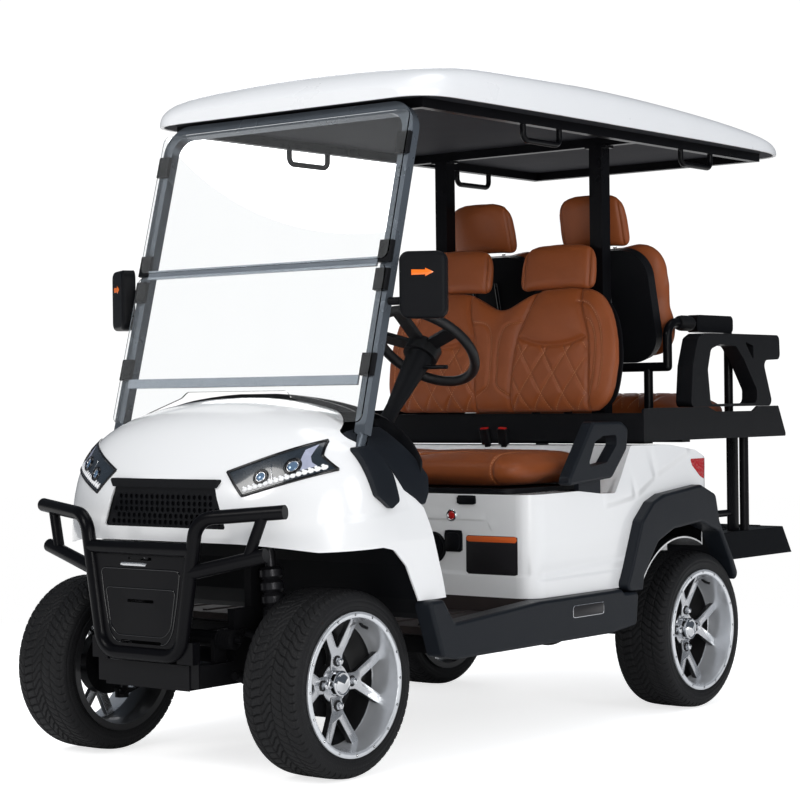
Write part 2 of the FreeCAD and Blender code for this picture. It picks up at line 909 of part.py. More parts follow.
def rear_axle():
    y = rear_axle_y
    face = hub_face_x(rear_wheel_x) - fit_gap
    pieces = [rod(V(-face, y, tyre_radius), V(face, y, tyre_radius), axle_tube_radius)]
    for side in (-1, 1):
        start = V(side * (face - drum_width), y, tyre_radius)
        pieces.append(rod(start, V(side * face, y, tyre_radius), drum_radius))
        end = V(side * (face + spindle_length), y, tyre_radius)
        pieces.append(rod(start, end, spindle_radius))
    ball = Part.makeSphere(diff_radius, V(0, y, tyre_radius))
    pieces.append(ball.common(box(-diff_width / 2, diff_width / 2, y - diff_radius, y + diff_radius,
                                  tyre_radius - diff_radius, tyre_radius + diff_radius)))
    pieces.append(rod(V(0, y, tyre_radius), V(0, ry(-motor_length - diff_radius), tyre_radius), motor_radius))
    return pieces[0].fuse(pieces[1:]).removeSplitter()


def arm_pair(spread_half, pivot_z, boss_z):
    """One A-arm: two legs from the rail to a boss round the kingpin axis."""
    y = front_axle_y
    inner_x = rail_x + rail_width / 2 + seat_gap
    middle_z = boss_z + arm_boss_height / 2
    legs = []
    for way in (-1, 1):
        start = V(inner_x + arm_radius, y + way * spread_half, pivot_z)
        eye = rod(V(start.x, start.y - arm_radius, pivot_z), V(start.x, start.y + arm_radius, pivot_z), arm_radius)
        legs.append(rod(start, V(kingpin_x, y, middle_z), arm_radius))
        legs.append(eye)
    boss = Part.makeCylinder(arm_boss_radius, arm_boss_height, V(kingpin_x, y, boss_z))
    solid = boss.fuse(legs)
    above = box(kingpin_x - arm_boss_radius * 2, kingpin_x + arm_boss_radius * 2, y - tyre_radius,
                y + tyre_radius, boss_z + arm_boss_height, boss_z + tyre_radius)
    below = box(kingpin_x - arm_boss_radius * 2, kingpin_x + arm_boss_radius * 2, y - tyre_radius,
                y + tyre_radius, boss_z - tyre_radius, boss_z)
    return solid.cut(above).cut(below)


def lower_arm():
    boss_z = kingpin_low_z - seat_gap - arm_boss_height
    arm = arm_pair(lower_arm_spread, lower_arm_pivot_z, boss_z)
    y = front_axle_y
    seat = box(shock_low_x - shock_body_radius, shock_low_x + shock_body_radius,
               y - lower_arm_spread / 2, y + lower_arm_spread / 2, shock_low_z - arm_radius, shock_low_z)
    return arm.fuse(seat)


def upper_arm():
    return arm_pair(upper_arm_spread, upper_arm_pivot_z, kingpin_high_z + seat_gap)


def shock():
    """Damper with its coil drawn as a ribbed sleeve, from the lower arm to the tower cap."""
    y = front_axle_y
    low = V(shock_low_x, y, shock_low_z + seat_gap)
    high = V(shock_high_x, y, tower_top_z - seat_gap)
    way = high.sub(low)
    eye = way.Length * shock_eye_share
    pitch = (way.Length - 2 * eye) / spring_turns
    profile = [(0, 0), (0, shock_body_radius), (eye, shock_body_radius)]
    for i in range(spring_turns):
        at = eye + i * pitch
        profile.append((at + pitch / 4, spring_radius))
        profile.append((at + pitch * 3 / 4, spring_radius))
        profile.append((at + pitch, spring_radius - spring_wire))
    profile.append((way.Length - eye, shock_body_radius))
    profile.append((way.Length, shock_body_radius))
    profile.append((way.Length, 0))
    solid = revolved(profile, low, way)
    floor = box(low.x - tyre_radius, low.x + tyre_radius, y - tyre_radius, y + tyre_radius, 0, low.z)
    roof = box(low.x - tyre_radius, low.x + tyre_radius, y - tyre_radius, y + tyre_radius, high.z,
               high.z + tyre_radius)
    return solid.cut(floor).cut(roof)


def rack_half_profile():
    """Bellows and tie rod stub at one end of the rack."""
    y = fy(-rack_ahead)
    pitch = bellows_length / bellows_folds
    profile = [(0, 0), (0, rack_radius)]
    for i in range(bellows_folds):
        profile.append((pitch * i + pitch / 2, bellows_radius))
        profile.append((pitch * (i + 1), rack_radius - spring_wire))
    profile.append((bellows_length, tie_rod_radius))
    profile.append((bellows_length + tie_rod_length, tie_rod_radius))
    profile.append((bellows_length + tie_rod_length, 0))
    return revolved(profile, V(rack_half, y, rack_z), axis_x)


def steering_rack():
    y = fy(-rack_ahead)
    body = rod(V(-rack_half, y, rack_z), V(rack_half, y, rack_z), rack_radius)
    end = rack_half_profile()
    return body.fuse([end, mirrored(end)]).removeSplitter()


def battery_block():
    y0 = fy(body_front) + cross_width * 2
    z0 = rail_mid_z + rail_depth + seat_gap
    return box(-battery_half_width, battery_half_width, y0, y0 + battery_length, z0, z0 + battery_height)


# Brush guard and skid box


def guard_y():
    return -overall_length / 2 + guard_tube


def brush_guard():
    """Tube frame with two outer wings, struts and a slotted plate."""
    y = guard_y()
    low_left = V(-guard_low_half, y, guard_low_z)
    low_right = V(guard_low_half, y, guard_low_z)
    top_left = V(-guard_top_half, y, guard_top_z)
    top_right = V(guard_top_half, y, guard_top_z)
    lean = (guard_top_half - guard_low_half) / (guard_top_z - guard_low_z)
    shoulder_z = guard_top_z + guard_wing_rise
    shoulder_x = guard_top_half + lean * guard_wing_rise
    wing_end = V(guard_wing_half, y + guard_wing_back, guard_wing_z)
    shoulder = V(shoulder_x, y, shoulder_z)
    shoulder_left = V(-shoulder.x, y, shoulder.z)
    wing_left = V(-wing_end.x, wing_end.y, wing_end.z)
    side_right = tube([low_right.add(low_left).multiply(1 / 2), low_right, shoulder, wing_end],
                      guard_tube, guard_wing_bend)
    side_left = mirrored(side_right)
    top_bar = rod(top_left, top_right, guard_tube)
    wing_z = guard_low_wing_start_z
    wing_x = guard_low_half + lean * (wing_z - guard_low_z)
    low_end = V(guard_low_wing_half, y + guard_low_wing_back, guard_low_wing_z)
    low_wing = rod(V(wing_x, y, wing_z), low_end, guard_tube)
    low_point = V(wing_x, y, wing_z).add(low_end.sub(V(wing_x, y, wing_z)).multiply(guard_strut_share))
    high_point = shoulder.add(wing_end.sub(shoulder).multiply(guard_strut_share))
    strut = rod(low_point, high_point, guard_strut_tube)
    plate = guard_plate(y)
    pieces = [side_left, top_bar, low_wing, mirrored(low_wing), strut, mirrored(strut), plate]
    return side_right.fuse(pieces + guard_feet(y)).removeSplitter()


def guard_feet(y):
    """Feet that carry the guard on the front ends of the rails."""
    x0 = rail_x - rail_width / 2
    foot = box(x0 - guard_tube, x0 + rail_width, y, fy(-rail_front_end) - seat_gap,
               guard_low_z - guard_tube, guard_low_z + rail_width)
    drop = box(x0, x0 + rail_width, fy(-rail_front_end) - seat_gap - guard_plate_thickness,
               fy(-rail_front_end) - seat_gap, rail_front_z, guard_low_z)
    foot = foot.fuse(drop)
    return [foot, mirrored(foot)]


def guard_plate(y):
    height = guard_top_z - guard_low_z
    outline = [
        (-guard_low_half, guard_low_z), (guard_low_half, guard_low_z),
        (guard_top_half, guard_top_z), (-guard_top_half, guard_top_z),
    ]
    plate = slab_xz(outline, 0, y - guard_plate_thickness / 2, y + guard_plate_thickness / 2)
    slots = []
    for up, wide in guard_slot_rows_shares:
        z = guard_low_z + height * up
        half = guard_low_half * wide
        points = rectangle(-half, half, z - guard_slot_height / 2, z + guard_slot_height / 2)
        slots.append(slab_xz(points, guard_slot_height, y - guard_tube, y + guard_tube))
    return plate.cut(Part.makeCompound(slots))


def skid_box():
    """Cover below the guard: a front plate with a channel that fits between the rails."""
    y0 = guard_y() + guard_tube + seat_gap
    y1 = y0 + skid_length
    rail_end = fy(-rail_front_end) - seat_gap
    half = rail_x - rail_width / 2 - seat_gap
    plate = box(-skid_half, skid_half, y0, rail_end - guard_plate_thickness - seat_gap, skid_low_z, skid_high_z)
    channel = box(-half, half, y0, y1, skid_low_z, skid_high_z)
    inner = box(-half + skid_wall, half - skid_wall, y0 + skid_wall, y1 + cut_overrun,
                skid_low_z + skid_wall, skid_high_z - skid_wall)
    return plate.fuse(channel).cut(inner).removeSplitter()


# Front cowl


def cowl_y():
    return fy(-cowl_nose_ahead)


def cowl_solid(inset):
    return loft_stations(cowl_station_shares, cowl_section_shares, body_half_width, cowl_low_z,
                         cowl_height, cowl_y(), cowl_length, inset)


def cowl_points(shares):
    return spread(shares, cowl_y(), cowl_length, cowl_low_z, cowl_height)


def across_body(points, corner):
    return slab_yz(points, corner, -body_half_width - cut_overrun, body_half_width + cut_overrun)


def cowl_inner():
    """The space inside the cowl skin, open below and behind, closed at the nose."""
    inner = cowl_solid(cowl_wall)
    inner.translate(V(0, cowl_wall, 0))
    low = box(-body_half_width + cowl_wall, body_half_width - cowl_wall, cowl_y() + cowl_length * 1 / 2,
              cowl_y() + cowl_length + cut_overrun, cowl_low_z - cut_overrun, cowl_low_z + cowl_wall)
    return inner.fuse(low)


def front_liner():
    """Splash liner of both front wheel arches, one bent sheet inside the cowl skin."""
    line = cowl_points(liner_line_shares)
    sheet = slab_yz(line + moved_line(line, -liner_wall)[::-1], 0, -floor_half, floor_half)
    gap = cowl_wall + seat_gap
    inner = cowl_solid(gap)
    inner.translate(V(0, gap, 0))
    low = box(-floor_half, floor_half, fy(0), fy(floor_front), floor_top_z, cowl_low_z)
    return sheet.common(inner.fuse(low)).removeSplitter()


def lamp_prism():
    outline = spread(lamp_outline_shares, 0, body_half_width, cowl_low_z, cowl_height)
    return slab_xz(outline, lamp_corner, cowl_y() - cut_overrun, cowl_y() + cowl_length * lamp_depth_share)


def grille_prism(shares, y0, y1):
    outline = spread(shares, 0, body_half_width, cowl_low_z, cowl_height)
    return slab_xz(outline, grille_corner, y0, y1)


def front_cowl(outer):
    skin = outer.cut(cowl_inner())
    skin = skin.cut(across_body(cowl_points(cowl_under_shares), cowl_corner))
    skin = skin.cut(across_body(cowl_points(cowl_rear_shares), cowl_corner / 2))
    lamp = lamp_prism()
    y = cowl_y()
    reach = y + cowl_nose_ahead / 2
    holes = [lamp, mirrored(lamp)]
    holes.append(grille_prism(grille_outline_shares, y - cut_overrun, reach))
    holes.append(grille_prism(grille_bar_shares, y - cut_overrun, reach))
    return skin.cut(holes)


def headlights(outer):
    core = cowl_solid(lamp_thickness)
    core.translate(V(0, lamp_thickness, 0))
    lamp = outer.cut(core).common(lamp_prism())
    biggest = max(lamp.Solids, key=lambda s: s.Volume)
    return both(biggest)


def hex_hole(x, z, y0, y1):
    across = grille_hole / 2
    corners = [(x + across * math.cos(math.radians(60 * k + 30)),
                z + across * math.sin(math.radians(60 * k + 30))) for k in range(6)]
    return slab_xz(corners, 0, y0, y1)


def grille():
    """A plate set back in the nose, with rows of six-sided pockets, and the bar above it."""
    y = cowl_y() + grille_recess
    plate = grille_prism(grille_outline_shares, y, y + grille_thickness)
    box_around = plate.BoundBox
    pitch = grille_hole + grille_web
    row = pitch * math.sin(math.radians(60))
    rows = int((box_around.ZLength - pitch) / row)
    holes = []
    slope = body_half_width * (grille_outline_shares[1][0] - grille_outline_shares[2][0])
    for r in range(rows):
        z = box_around.ZMin + pitch * 2 / 3 + r * row
        share = (z - box_around.ZMin) / box_around.ZLength
        half = box_around.XMax - slope * share - pitch
        columns = int(2 * half / pitch)
        start = -columns * pitch / 2 + (pitch / 2 if r % 2 else 0)
        for c in range(columns + 1 - r % 2):
            holes.append(hex_hole(start + c * pitch, z, y - cut_overrun, y + grille_hole_depth))
    plate = plate.cut(Part.makeCompound(holes))
    bar = grille_prism(grille_bar_shares, cowl_y() - fit_gap, y + grille_thickness)
    return plate.fuse(bar).removeSplitter()


# Dash and controls


def dash_points(shares):
    return spread(shares, fy(-dash_front), dash_length, dash_low_z, dash_height)


def dash_panel(pad):
    """A bent panel from the back of the hood, over the dash and down to the toe board."""
    outer = dash_points(dash_line_shares)
    inner = moved_line(outer, dash_wall)
    band = slab_yz(outer + inner[::-1], 0, -dash_half, dash_half)
    band = band.common(cowl_solid(-dash_rise))
    low = box(-dash_half, dash_half, fy(0), fy(dash_length), 0, dash_low_z)
    band = band.cut([low, pad, mirrored(pad)])
    return max(band.Solids, key=lambda s: s.Volume)


def knee_pad():
    """Inner side pad that carries the cowl's surface on behind the hood."""
    outline = dash_points(knee_outline_shares)
    pad = slab_yz(outline, knee_corner, knee_inner_x, body_half_width + cut_overrun)
    behind = across_body(cowl_points(cowl_rear_shares), cowl_corner / 2)
    pad = pad.common(cowl_solid(-knee_inset)).common(behind)
    round_post = math.hypot(screen_tube_depth, screen_tube_width) / 2 + knee_screen_gap
    pad = pad.cut(screen_leg(screen_tube_depth / 2 + knee_screen_gap)).cut(screen_post(round_post))
    return max(pad.Solids, key=lambda s: s.Volume)


def moved_line(points, reach):
    """A polyline moved to its right by a reach, each point along the mean of its two sides."""
    moved = []
    for i, (u, v) in enumerate(points):
        a, b = points[max(i - 1, 0)]
        c, d = points[min(i + 1, len(points) - 1)]
        length = math.hypot(c - a, d - b)
        moved.append((u + (d - b) / length * reach, v - (c - a) / length * reach))
    return moved


def line_at(points, value):
    """First coordinate of a polyline where its second one passes a value."""
    for (a, b), (c, d) in zip(points, points[1:]):
        if min(b, d) <= value <= max(b, d):
            return a + (c - a) * (value - b) / (d - b)
    return points[-1][0]


def height_at(points, value):
    """Second coordinate of a polyline where its first one passes a value."""
    return line_at([(b, a) for a, b in points], value)


def dash_face_y(z):
    return line_at(list(reversed(dash_points(dash_line_shares))), z)


def pedals():
    """Two foot plates on arms that stand out of the toe board."""
    z0 = floor_top_z + pedal_drop
    z1 = z0 + pedal_height
    middle = (z0 + z1) / 2
    face = dash_face_y(middle) + pedal_thickness * 3
    solids = []
    for x in (accelerator_x, brake_x):
        plate = box(x - pedal_width / 2, x + pedal_width / 2, face, face + pedal_thickness, z0, z1)
        start = dash_face_y(middle) + seat_gap
        arm = rod(V(x, start, middle), V(x, face, middle), pedal_arm)
        arm = arm.cut(dash_cutter())
        solids.append(plate.fuse(arm))
    return solids


def dash_cutter():
    """Everything ahead of the dash line, grown by the seat gap."""
    line = [(y + seat_gap, z) for y, z in dash_points(dash_line_shares)]
    front = fy(-dash_front) - cut_overrun
    closing = [(front, line[-1][1]), (front, line[0][1])]
    return slab_yz(line + closing, 0, -body_half_width, body_half_width)


# Windshield


def screen_line(z):
    """Distance behind the front axle of the frame's middle line at one height."""
    share = (z - screen_foot_z) / (screen_top_z - screen_foot_z)
    return fy(screen_foot_behind + share * (screen_top_behind - screen_foot_behind))


def screen_frame():
    """One bent frame: two posts that lean back and the bar across their tops."""
    foot = V(screen_foot_x, fy(screen_foot_behind), screen_foot_z)
    top = V(screen_foot_x, fy(screen_top_behind), screen_top_z)
    points = [foot, top, V(-top.x, top.y, top.z), V(-foot.x, foot.y, foot.z)]
    path = route(points, screen_bend)
    way = top.sub(foot).normalize()
    across = axis_x
    out = way.cross(across)
    w = screen_tube_width / 2
    d = screen_tube_depth / 2
    corners = []
    for a, b in ((-w, -d), (w, -d), (w, d), (-w, d)):
        corners.append(foot.add(V(across).multiply(a)).add(V(out).multiply(b)))
    ring = Part.makePolygon(corners + corners[:1])
    frame = path.makePipeShell([ring], True, True)
    leg = screen_leg(screen_tube_depth / 2)
    frame = frame.fuse([leg, mirrored(leg)])
    return frame.cut(cowl_solid(-seat_gap)).removeSplitter()


def screen_leg(radius):
    """Lower end of a post, from the straight frame out to its base cover."""
    foot = V(screen_foot_x, fy(screen_foot_behind), screen_foot_z)
    base = V(screen_base_x, fy(-screen_base_ahead), screen_base_z)
    return rod(base, foot, radius).fuse(Part.makeSphere(radius, foot))


def screen_post(radius):
    """A round bar along the straight part of a post, from its foot up."""
    foot = V(screen_foot_x, fy(screen_foot_behind), screen_foot_z)
    top = V(screen_foot_x, fy(screen_top_behind), screen_top_z)
    return rod(foot, top, radius)


def screen_lean():
    return math.atan2(screen_top_behind - screen_foot_behind, screen_top_z - screen_foot_z)


def screen_back_y():
    """Rearmost line of the bar across the top of the windshield frame."""
    lean = screen_lean()
    reach = math.cos(lean) * screen_tube_depth / 2 + math.sin(lean) * screen_tube_width / 2
    return fy(screen_top_behind) + reach


def pane_wire_solid(points, offset, thickness, corner):
    """A sheet in the leaning plane in front of the frame; points are (x, height)."""
    foot_y = screen_line(screen_foot_z)
    lean = (screen_top_behind - screen_foot_behind) / (screen_top_z - screen_foot_z)
    normal = V(0, -1, lean).normalize()
    start = normal.multiply(screen_tube_depth / 2 + offset)
    wire = rounded_wire(points, corner, lambda x, z: V(x, screen_line(z), z).add(start))
    return Part.Face(wire).extrude(V(0, -1, lean).normalize().multiply(thickness))


def windshield_panes():
    upper = rectangle(-pane_half, pane_half, pane_hinge_z + pane_split / 2, pane_top_z)
    tall = pane_hinge_z - pane_low_z
    foot = [(a * pane_half, pane_low_z + b * tall) for a, b in pane_low_shares]
    left = [(-x, z) for x, z in foot[:-1]]
    lower = [(pane_half, pane_hinge_z - pane_split / 2)]
    lower += [(-pane_half, pane_hinge_z - pane_split / 2), (-pane_half, pane_low_z)]
    lower += left + list(reversed(foot[:-1])) + [(pane_half, pane_low_z)]
    return [
        pane_wire_solid(upper, pane_standoff, pane_thickness, pane_corner),
        pane_wire_solid(lower, pane_standoff, pane_thickness, pane_corner),
    ]


def windshield_rails():
    """Hinge strip and lower strip across the panes, with the clamps that hold them on the posts."""
    behind = pane_standoff - pane_rail_thickness
    half = screen_foot_x - clamp_width / 2 - seat_gap
    hinge = rectangle(-half, half, pane_hinge_z - pane_rail_height / 2, pane_hinge_z + pane_rail_height / 2)
    low = rectangle(-half, half, pane_low_rail_z, pane_low_rail_z + pane_rail_height)
    solids = [pane_wire_solid(points, behind, pane_rail_thickness - seat_gap, 0) for points in (hinge, low)]
    for z in clamp_zs:
        for side in (-1, 1):
            x = side * screen_foot_x
            block = rectangle(x - clamp_width / 2, x + clamp_width / 2, z - clamp_height / 2,
                              z + clamp_height / 2)
            solids.append(pane_wire_solid(block, seat_gap, pane_standoff - 2 * seat_gap, 0))
    return solids


def post_covers(pad):
    """Covers over the post feet, seated on the outside of the fenders and cut back to the knee pads."""
    outline = cowl_points(cover_outline_shares)
    block = slab_yz(outline, cover_corner, cover_inner_x, body_half_width + cover_thickness)
    grown = cowl_solid(-cover_thickness)
    grown.translate(V(0, -cover_thickness, 0))
    inner = cowl_solid(-seat_gap)
    inner.translate(V(0, -seat_gap, 0))
    cover = block.common(grown).cut([inner, pad, screen_leg(screen_tube_depth / 2 + seat_gap)])
    cover = max(cover.Solids, key=lambda s: s.Volume)
    return cover


# Roof


def roof_solid(inset, end_inset):
    return loft_stations(roof_station_shares, roof_section_shares, roof_half, roof_edge_z,
                         roof_crown, fy(roof_front_behind) + end_inset,
                         roof_length - 2 * end_inset, inset)


def roof_shell():
    """The crowned outer skin, open below."""
    return roof_solid(0, 0).cut(roof_solid(roof_wall, roof_wall))


def roof_liner():
    """The flat inner ceiling that closes the roof shell from below."""
    inner = roof_solid(roof_wall + seat_gap, roof_wall + seat_gap)
    low = roof_edge_z + liner_drop
    slab = box(-roof_half, roof_half, fy(roof_front_behind) + roof_wall + seat_gap,
               fy(roof_front_behind) + roof_length - roof_wall - seat_gap, low, low + liner_thickness)
    return slab.common(inner)


def roof_frame():
    """Rails and cross bars that carry the roof, with grab handles below the rails."""
    top = roof_edge_z + liner_drop - seat_gap
    low = top - roof_rail_size
    y0 = screen_back_y() + seat_gap
    y1 = ry(roof_rail_rear)
    half = roof_rail_size / 2
    rail_right = box(roof_rail_x - half, roof_rail_x + half, y0, y1, low, top)
    bars = [rail_right, mirrored(rail_right)]
    for y in (y0, ry(-post_ahead) - half, y1 - roof_rail_size):
        bars.append(box(-roof_rail_x, roof_rail_x, y, y + roof_rail_size, low, top))
    for y in (fy(grab_front_behind), ry(grab_rear_behind)):
        a = V(roof_rail_x, y - grab_length / 2, low + grab_tube)
        b = V(roof_rail_x, y - grab_length / 2, low - grab_drop)
        c = V(roof_rail_x, y + grab_length / 2, low - grab_drop)
        d = V(roof_rail_x, y + grab_length / 2, low + grab_tube)
        handle = tube([a, b, c, d], grab_tube, grab_bend)
        bars.append(handle)
        bars.append(mirrored(handle))
    return bars[0].fuse(bars[1:]).removeSplitter()


def roof_posts():
    """Rear roof posts with feet, cross bars and the pads that carry the front backrest."""
    y = ry(-post_ahead)
    foot_z = tray_low_z + tray_wall + seat_gap
    top_z = roof_edge_z + liner_drop - seat_gap - roof_rail_size - seat_gap
    pieces = []
    for side in (-1, 1):
        x = side * post_x
        pieces.append(box(x - post_tube, x + post_tube, y - post_tube, y + post_tube, foot_z, top_z))
        pieces.append(box(x - post_foot / 2, x + post_foot / 2, y - post_foot / 2, y + post_foot / 2,
                          foot_z, foot_z + post_foot_thickness))
        pieces.append(box(x - post_foot / 2, x + post_foot / 2, y - post_tube, y + post_tube,
                          top_z - post_foot_thickness, top_z))
    for z in back_bar_zs:
        pad_back = y - backrest_gap() - (back_bar_zs[-1] - z) * math.tan(math.radians(backrest_tilt))
        pieces.append(rod(V(-post_x, y, z), V(post_x, y, z), back_bar_tube))
        for side in (-1, 1):
            x = side * back_pad_x
            pieces.append(box(x - back_pad_size / 2, x + back_pad_size / 2, pad_back, y,
                              z - back_bar_tube, z + back_bar_tube))
    return pieces[0].fuse(pieces[1:]).removeSplitter()


def backrest_gap():
    return post_brace


def backrest_back_y():
    return ry(-post_ahead) - backrest_gap() - seat_gap


# Floor, rockers and rear body


def floor_pan():
    y0 = fy(floor_front)
    y1 = fy(body_front) + body_wall
    low = floor_top_z - floor_thickness
    plate = box(-floor_half, floor_half, y0, y1, low, floor_top_z)
    pitch = 2 * (floor_half - rib_width) / rib_count
    ribs = []
    for i in range(rib_count):
        x = -floor_half + rib_width + pitch * (i + 1 / 2)
        ribs.append(box(x - rib_width / 2, x + rib_width / 2, y0 + rib_width * 2, y1 - rib_width * 4,
                        floor_top_z, floor_top_z + rib_height))
    kick = box(-floor_half, floor_half, y1 - kick_plate, y1, floor_top_z, body_low_z - seat_gap)
    return plate.fuse(ribs + [kick]).removeSplitter()


def rockers():
    outline = spread(rocker_shares, fy(rocker_front), rocker_length, rocker_low_z, rocker_height)
    side = slab_yz(outline, rocker_corner, rocker_inner_x, sill_half_width)
    return softened(side, 0, sill_half_width, rocker_edge)


def body_points(shares):
    return spread(shares, fy(body_front), body_length, body_low_z, body_height)


def wheel_points(shares):
    """Points round a rear wheel, in shares of the tyre radius from its centre."""
    return spread(shares, rear_axle_y, tyre_radius, tyre_radius, tyre_radius)


def body_solid(inset):
    """Side outline across the cart, with the plan corners rounded; inset draws the walls inward."""
    side = across_body(body_points(body_side_shares), body_side_corner)
    y0 = fy(body_front) + inset
    y1 = fy(body_front) + body_length - inset
    half = body_half_width - inset
    plan = slab_xy(rectangle(-half, half, y0, y1), body_corner - inset, body_low_z - cut_overrun,
                   body_low_z + body_height - inset)
    if inset:
        side.translate(V(0, 0, -inset))
    return side.common(plan)


def wheel_wells(grow):
    well = Part.makeCylinder(well_radius + grow, body_half_width, V(well_inner_x - grow, rear_axle_y, tyre_radius),
                             axis_x)
    low = box(well_inner_x - grow, body_half_width + cut_overrun, rear_axle_y - well_radius - grow,
              rear_axle_y + well_radius + grow, 0, tyre_radius)
    well = well.fuse(low)
    return well.fuse(mirrored(well))


def rear_body(tail):
    outer = body_solid(0).cut(wheel_wells(0))
    inner = body_solid(body_wall)
    drop = box(-body_half_width + body_wall, body_half_width - body_wall, fy(body_front) + body_corner,
               fy(body_front) + body_length - body_corner, body_low_z - cut_overrun, body_low_z + body_wall)
    inner = inner.fuse(drop).cut(wheel_wells(body_wall))
    skin = outer.cut(inner)
    skin = skin.cut(box(-hatch_half, hatch_half, fy(body_front) + body_length * hatch_front_share,
                        fy(body_front) + body_length * hatch_rear_share, body_low_z + body_height / 2,
                        body_low_z + body_height))
    arch = slab_yz(wheel_points(flare_outer_shares), flare_corner, body_half_width - tail_depth,
                   body_half_width + cut_overrun)
    skin = skin.cut([arch, mirrored(arch)])
    skin = skin.cut([tail, mirrored(tail)])
    biggest = max(skin.Solids, key=lambda s: s.Volume)
    return biggest


def rear_flares():
    """Black arches over the rear wheels, each a band between two outlines."""
    inner = body_half_width - tail_depth + seat_gap
    outer_line = slab_yz(wheel_points(flare_outer_shares), flare_corner, inner, sill_half_width)
    arch = slab_yz(wheel_points(flare_arch_shares), flare_corner, inner - cut_overrun,
                   sill_half_width + cut_overrun)
    flare = outer_line.cut(arch)
    return softened(flare, 0, sill_half_width, flare_edge)


def tail_lamp():
    outline = body_points(tail_outline_shares)
    block = slab_yz(outline, tail_corner, body_half_width - tail_depth, body_half_width + fit_gap)
    return block.common(body_solid(-fit_gap))


# Front seat


def pan_z():
    return body_low_z + body_height * body_side_shares[-2][1] + seat_gap


def seat_pan():
    y0 = fy(body_front) + pan_front_inset
    y1 = fy(body_front) + body_length * body_side_shares[-4][0] - pan_front_inset
    return slab_xy(rectangle(-pan_half, pan_half, y0, y1), cushion_corner, pan_z(), pan_z() + pan_thickness)


def front_cushion():
    """Soft bench cushion, left plain: one rounded block."""
    y0 = fy(body_front) + pan_front_inset - seat_gap
    low = pan_z() + pan_thickness + seat_gap
    return slab_xy(rectangle(-cushion_half, cushion_half, y0, y0 + cushion_length), cushion_corner,
                   low, low + cushion_height)


def mirrored_outline(points):
    return points + [(-u, v) for u, v in reversed(points[:-1])]


def front_backrest():
    tall = backrest_high_z - backrest_low_z
    half_line = spread(backrest_line_shares, 0, backrest_half, backrest_low_z, tall)
    back = backrest_back_y()
    seat = slab_xz(mirrored_outline(half_line), backrest_corner, back - backrest_depth, back)
    return leaned(seat)


def leaned(shape):
    """A piece of the front backrest, leaned back about the upper bar of the seat frame."""
    turned = shape.copy()
    turned.rotate(V(0, backrest_back_y(), back_bar_zs[-1] + back_bar_tube), axis_x, -backrest_tilt)
    return turned


def front_headrests():
    back = backrest_back_y()
    low = backrest_high_z + head_gap
    outline = rectangle(back_pad_x - headrest_half, back_pad_x + headrest_half, low, low + headrest_height)
    middle = back - backrest_depth / 2
    block = slab_xz(outline, headrest_corner, middle - headrest_depth / 2, middle + headrest_depth / 2)
    return leaned(block)


def hip_handles():
    outer = spread(handle_outer_shares, fy(handle_front), handle_length, handle_low_z, handle_height)
    inner = spread(handle_inner_shares, fy(handle_front), handle_length, handle_low_z, handle_height)
    x0 = handle_inner_x
    x1 = handle_inner_x + handle_thickness
    loop = slab_yz(outer, handle_corner, x0, x1)
    hole = slab_yz(inner, handle_corner / 2, x0 - cut_overrun, x1 + cut_overrun)
    loop = softened(loop, 0, x1, handle_edge)
    return loop.cut(hole).fuse(handle_foot(outer)).removeSplitter()


def handle_foot(outer):
    """Bracket that fills the space between the handle and the top edge of the rear body."""
    line = [outer[0], outer[-1]]
    deck = body_points(body_side_shares)
    stations = [handle_front_y() + a * handle_length for a in handle_foot_shares]
    low = [(y, height_at(deck[7:], y) + seat_gap) for y in stations]
    high = [(y, height_at(line, y) + handle_edge) for y in reversed(stations)]
    return slab_yz(low + high, 0, handle_inner_x + handle_edge, body_half_width)


def handle_front_y():
    return fy(handle_front)


# Rear seat


def rear_tray():
    """Open tray under the rear seat: two shaped sides, a floor and a lip across the back."""
    y0 = by(-tray_front)
    y1 = y0 + tray_length
    outline = spread(tray_side_shares, y0, tray_length, tray_low_z, tray_height)
    side = slab_yz(outline, tray_corner, tray_half - tray_wall, tray_half)
    floor = box(-tray_half, tray_half, y0, y1 - tray_wall, tray_low_z, tray_low_z + tray_wall)
    lip = box(-tray_half + tray_wall, tray_half - tray_wall, y1 - tray_wall * 8, y1 - tray_wall * 7,
              tray_low_z, tray_low_z + tray_height / 2)
    front = box(-tray_half + tray_wall, tray_half - tray_wall, y0, y0 + tray_wall, tray_low_z,
                tray_low_z + tray_height * tray_front_share)
    return side.fuse([mirrored(side), floor, lip, front]).removeSplitter()


def rear_cushion():
    low = tray_low_z + tray_wall + seat_gap
    y0 = by(-rear_cushion_ahead)
    return slab_xy(rectangle(-rear_cushion_half, rear_cushion_half, y0, y0 + rear_cushion_length),
                   rear_cushion_corner, low, low + rear_cushion_height)


def shell_y():
    return by(-shell_ahead)


def rear_shells():
    """Moulded backs of the two rear backrests."""
    outline = rectangle(shell_x - shell_half, shell_x + shell_half, shell_low_z, shell_high_z)
    return tilted(slab_xz(outline, shell_corner, shell_y(), shell_y() + shell_depth))


def tilted(shape):
    """A piece of a rear backrest, its top leaned towards the front of the cart."""
    turned = shape.copy()
    turned.rotate(V(0, shell_y() + shell_depth, shell_low_z), axis_x, rear_back_tilt)
    return turned


def rear_backrests():
    half = shell_half + rear_back_stand
    outline = rectangle(shell_x - half, shell_x + half, shell_low_z, shell_high_z)
    y = shell_y() + shell_depth + seat_gap
    return tilted(slab_xz(outline, shell_corner, y, y + rear_back_depth))


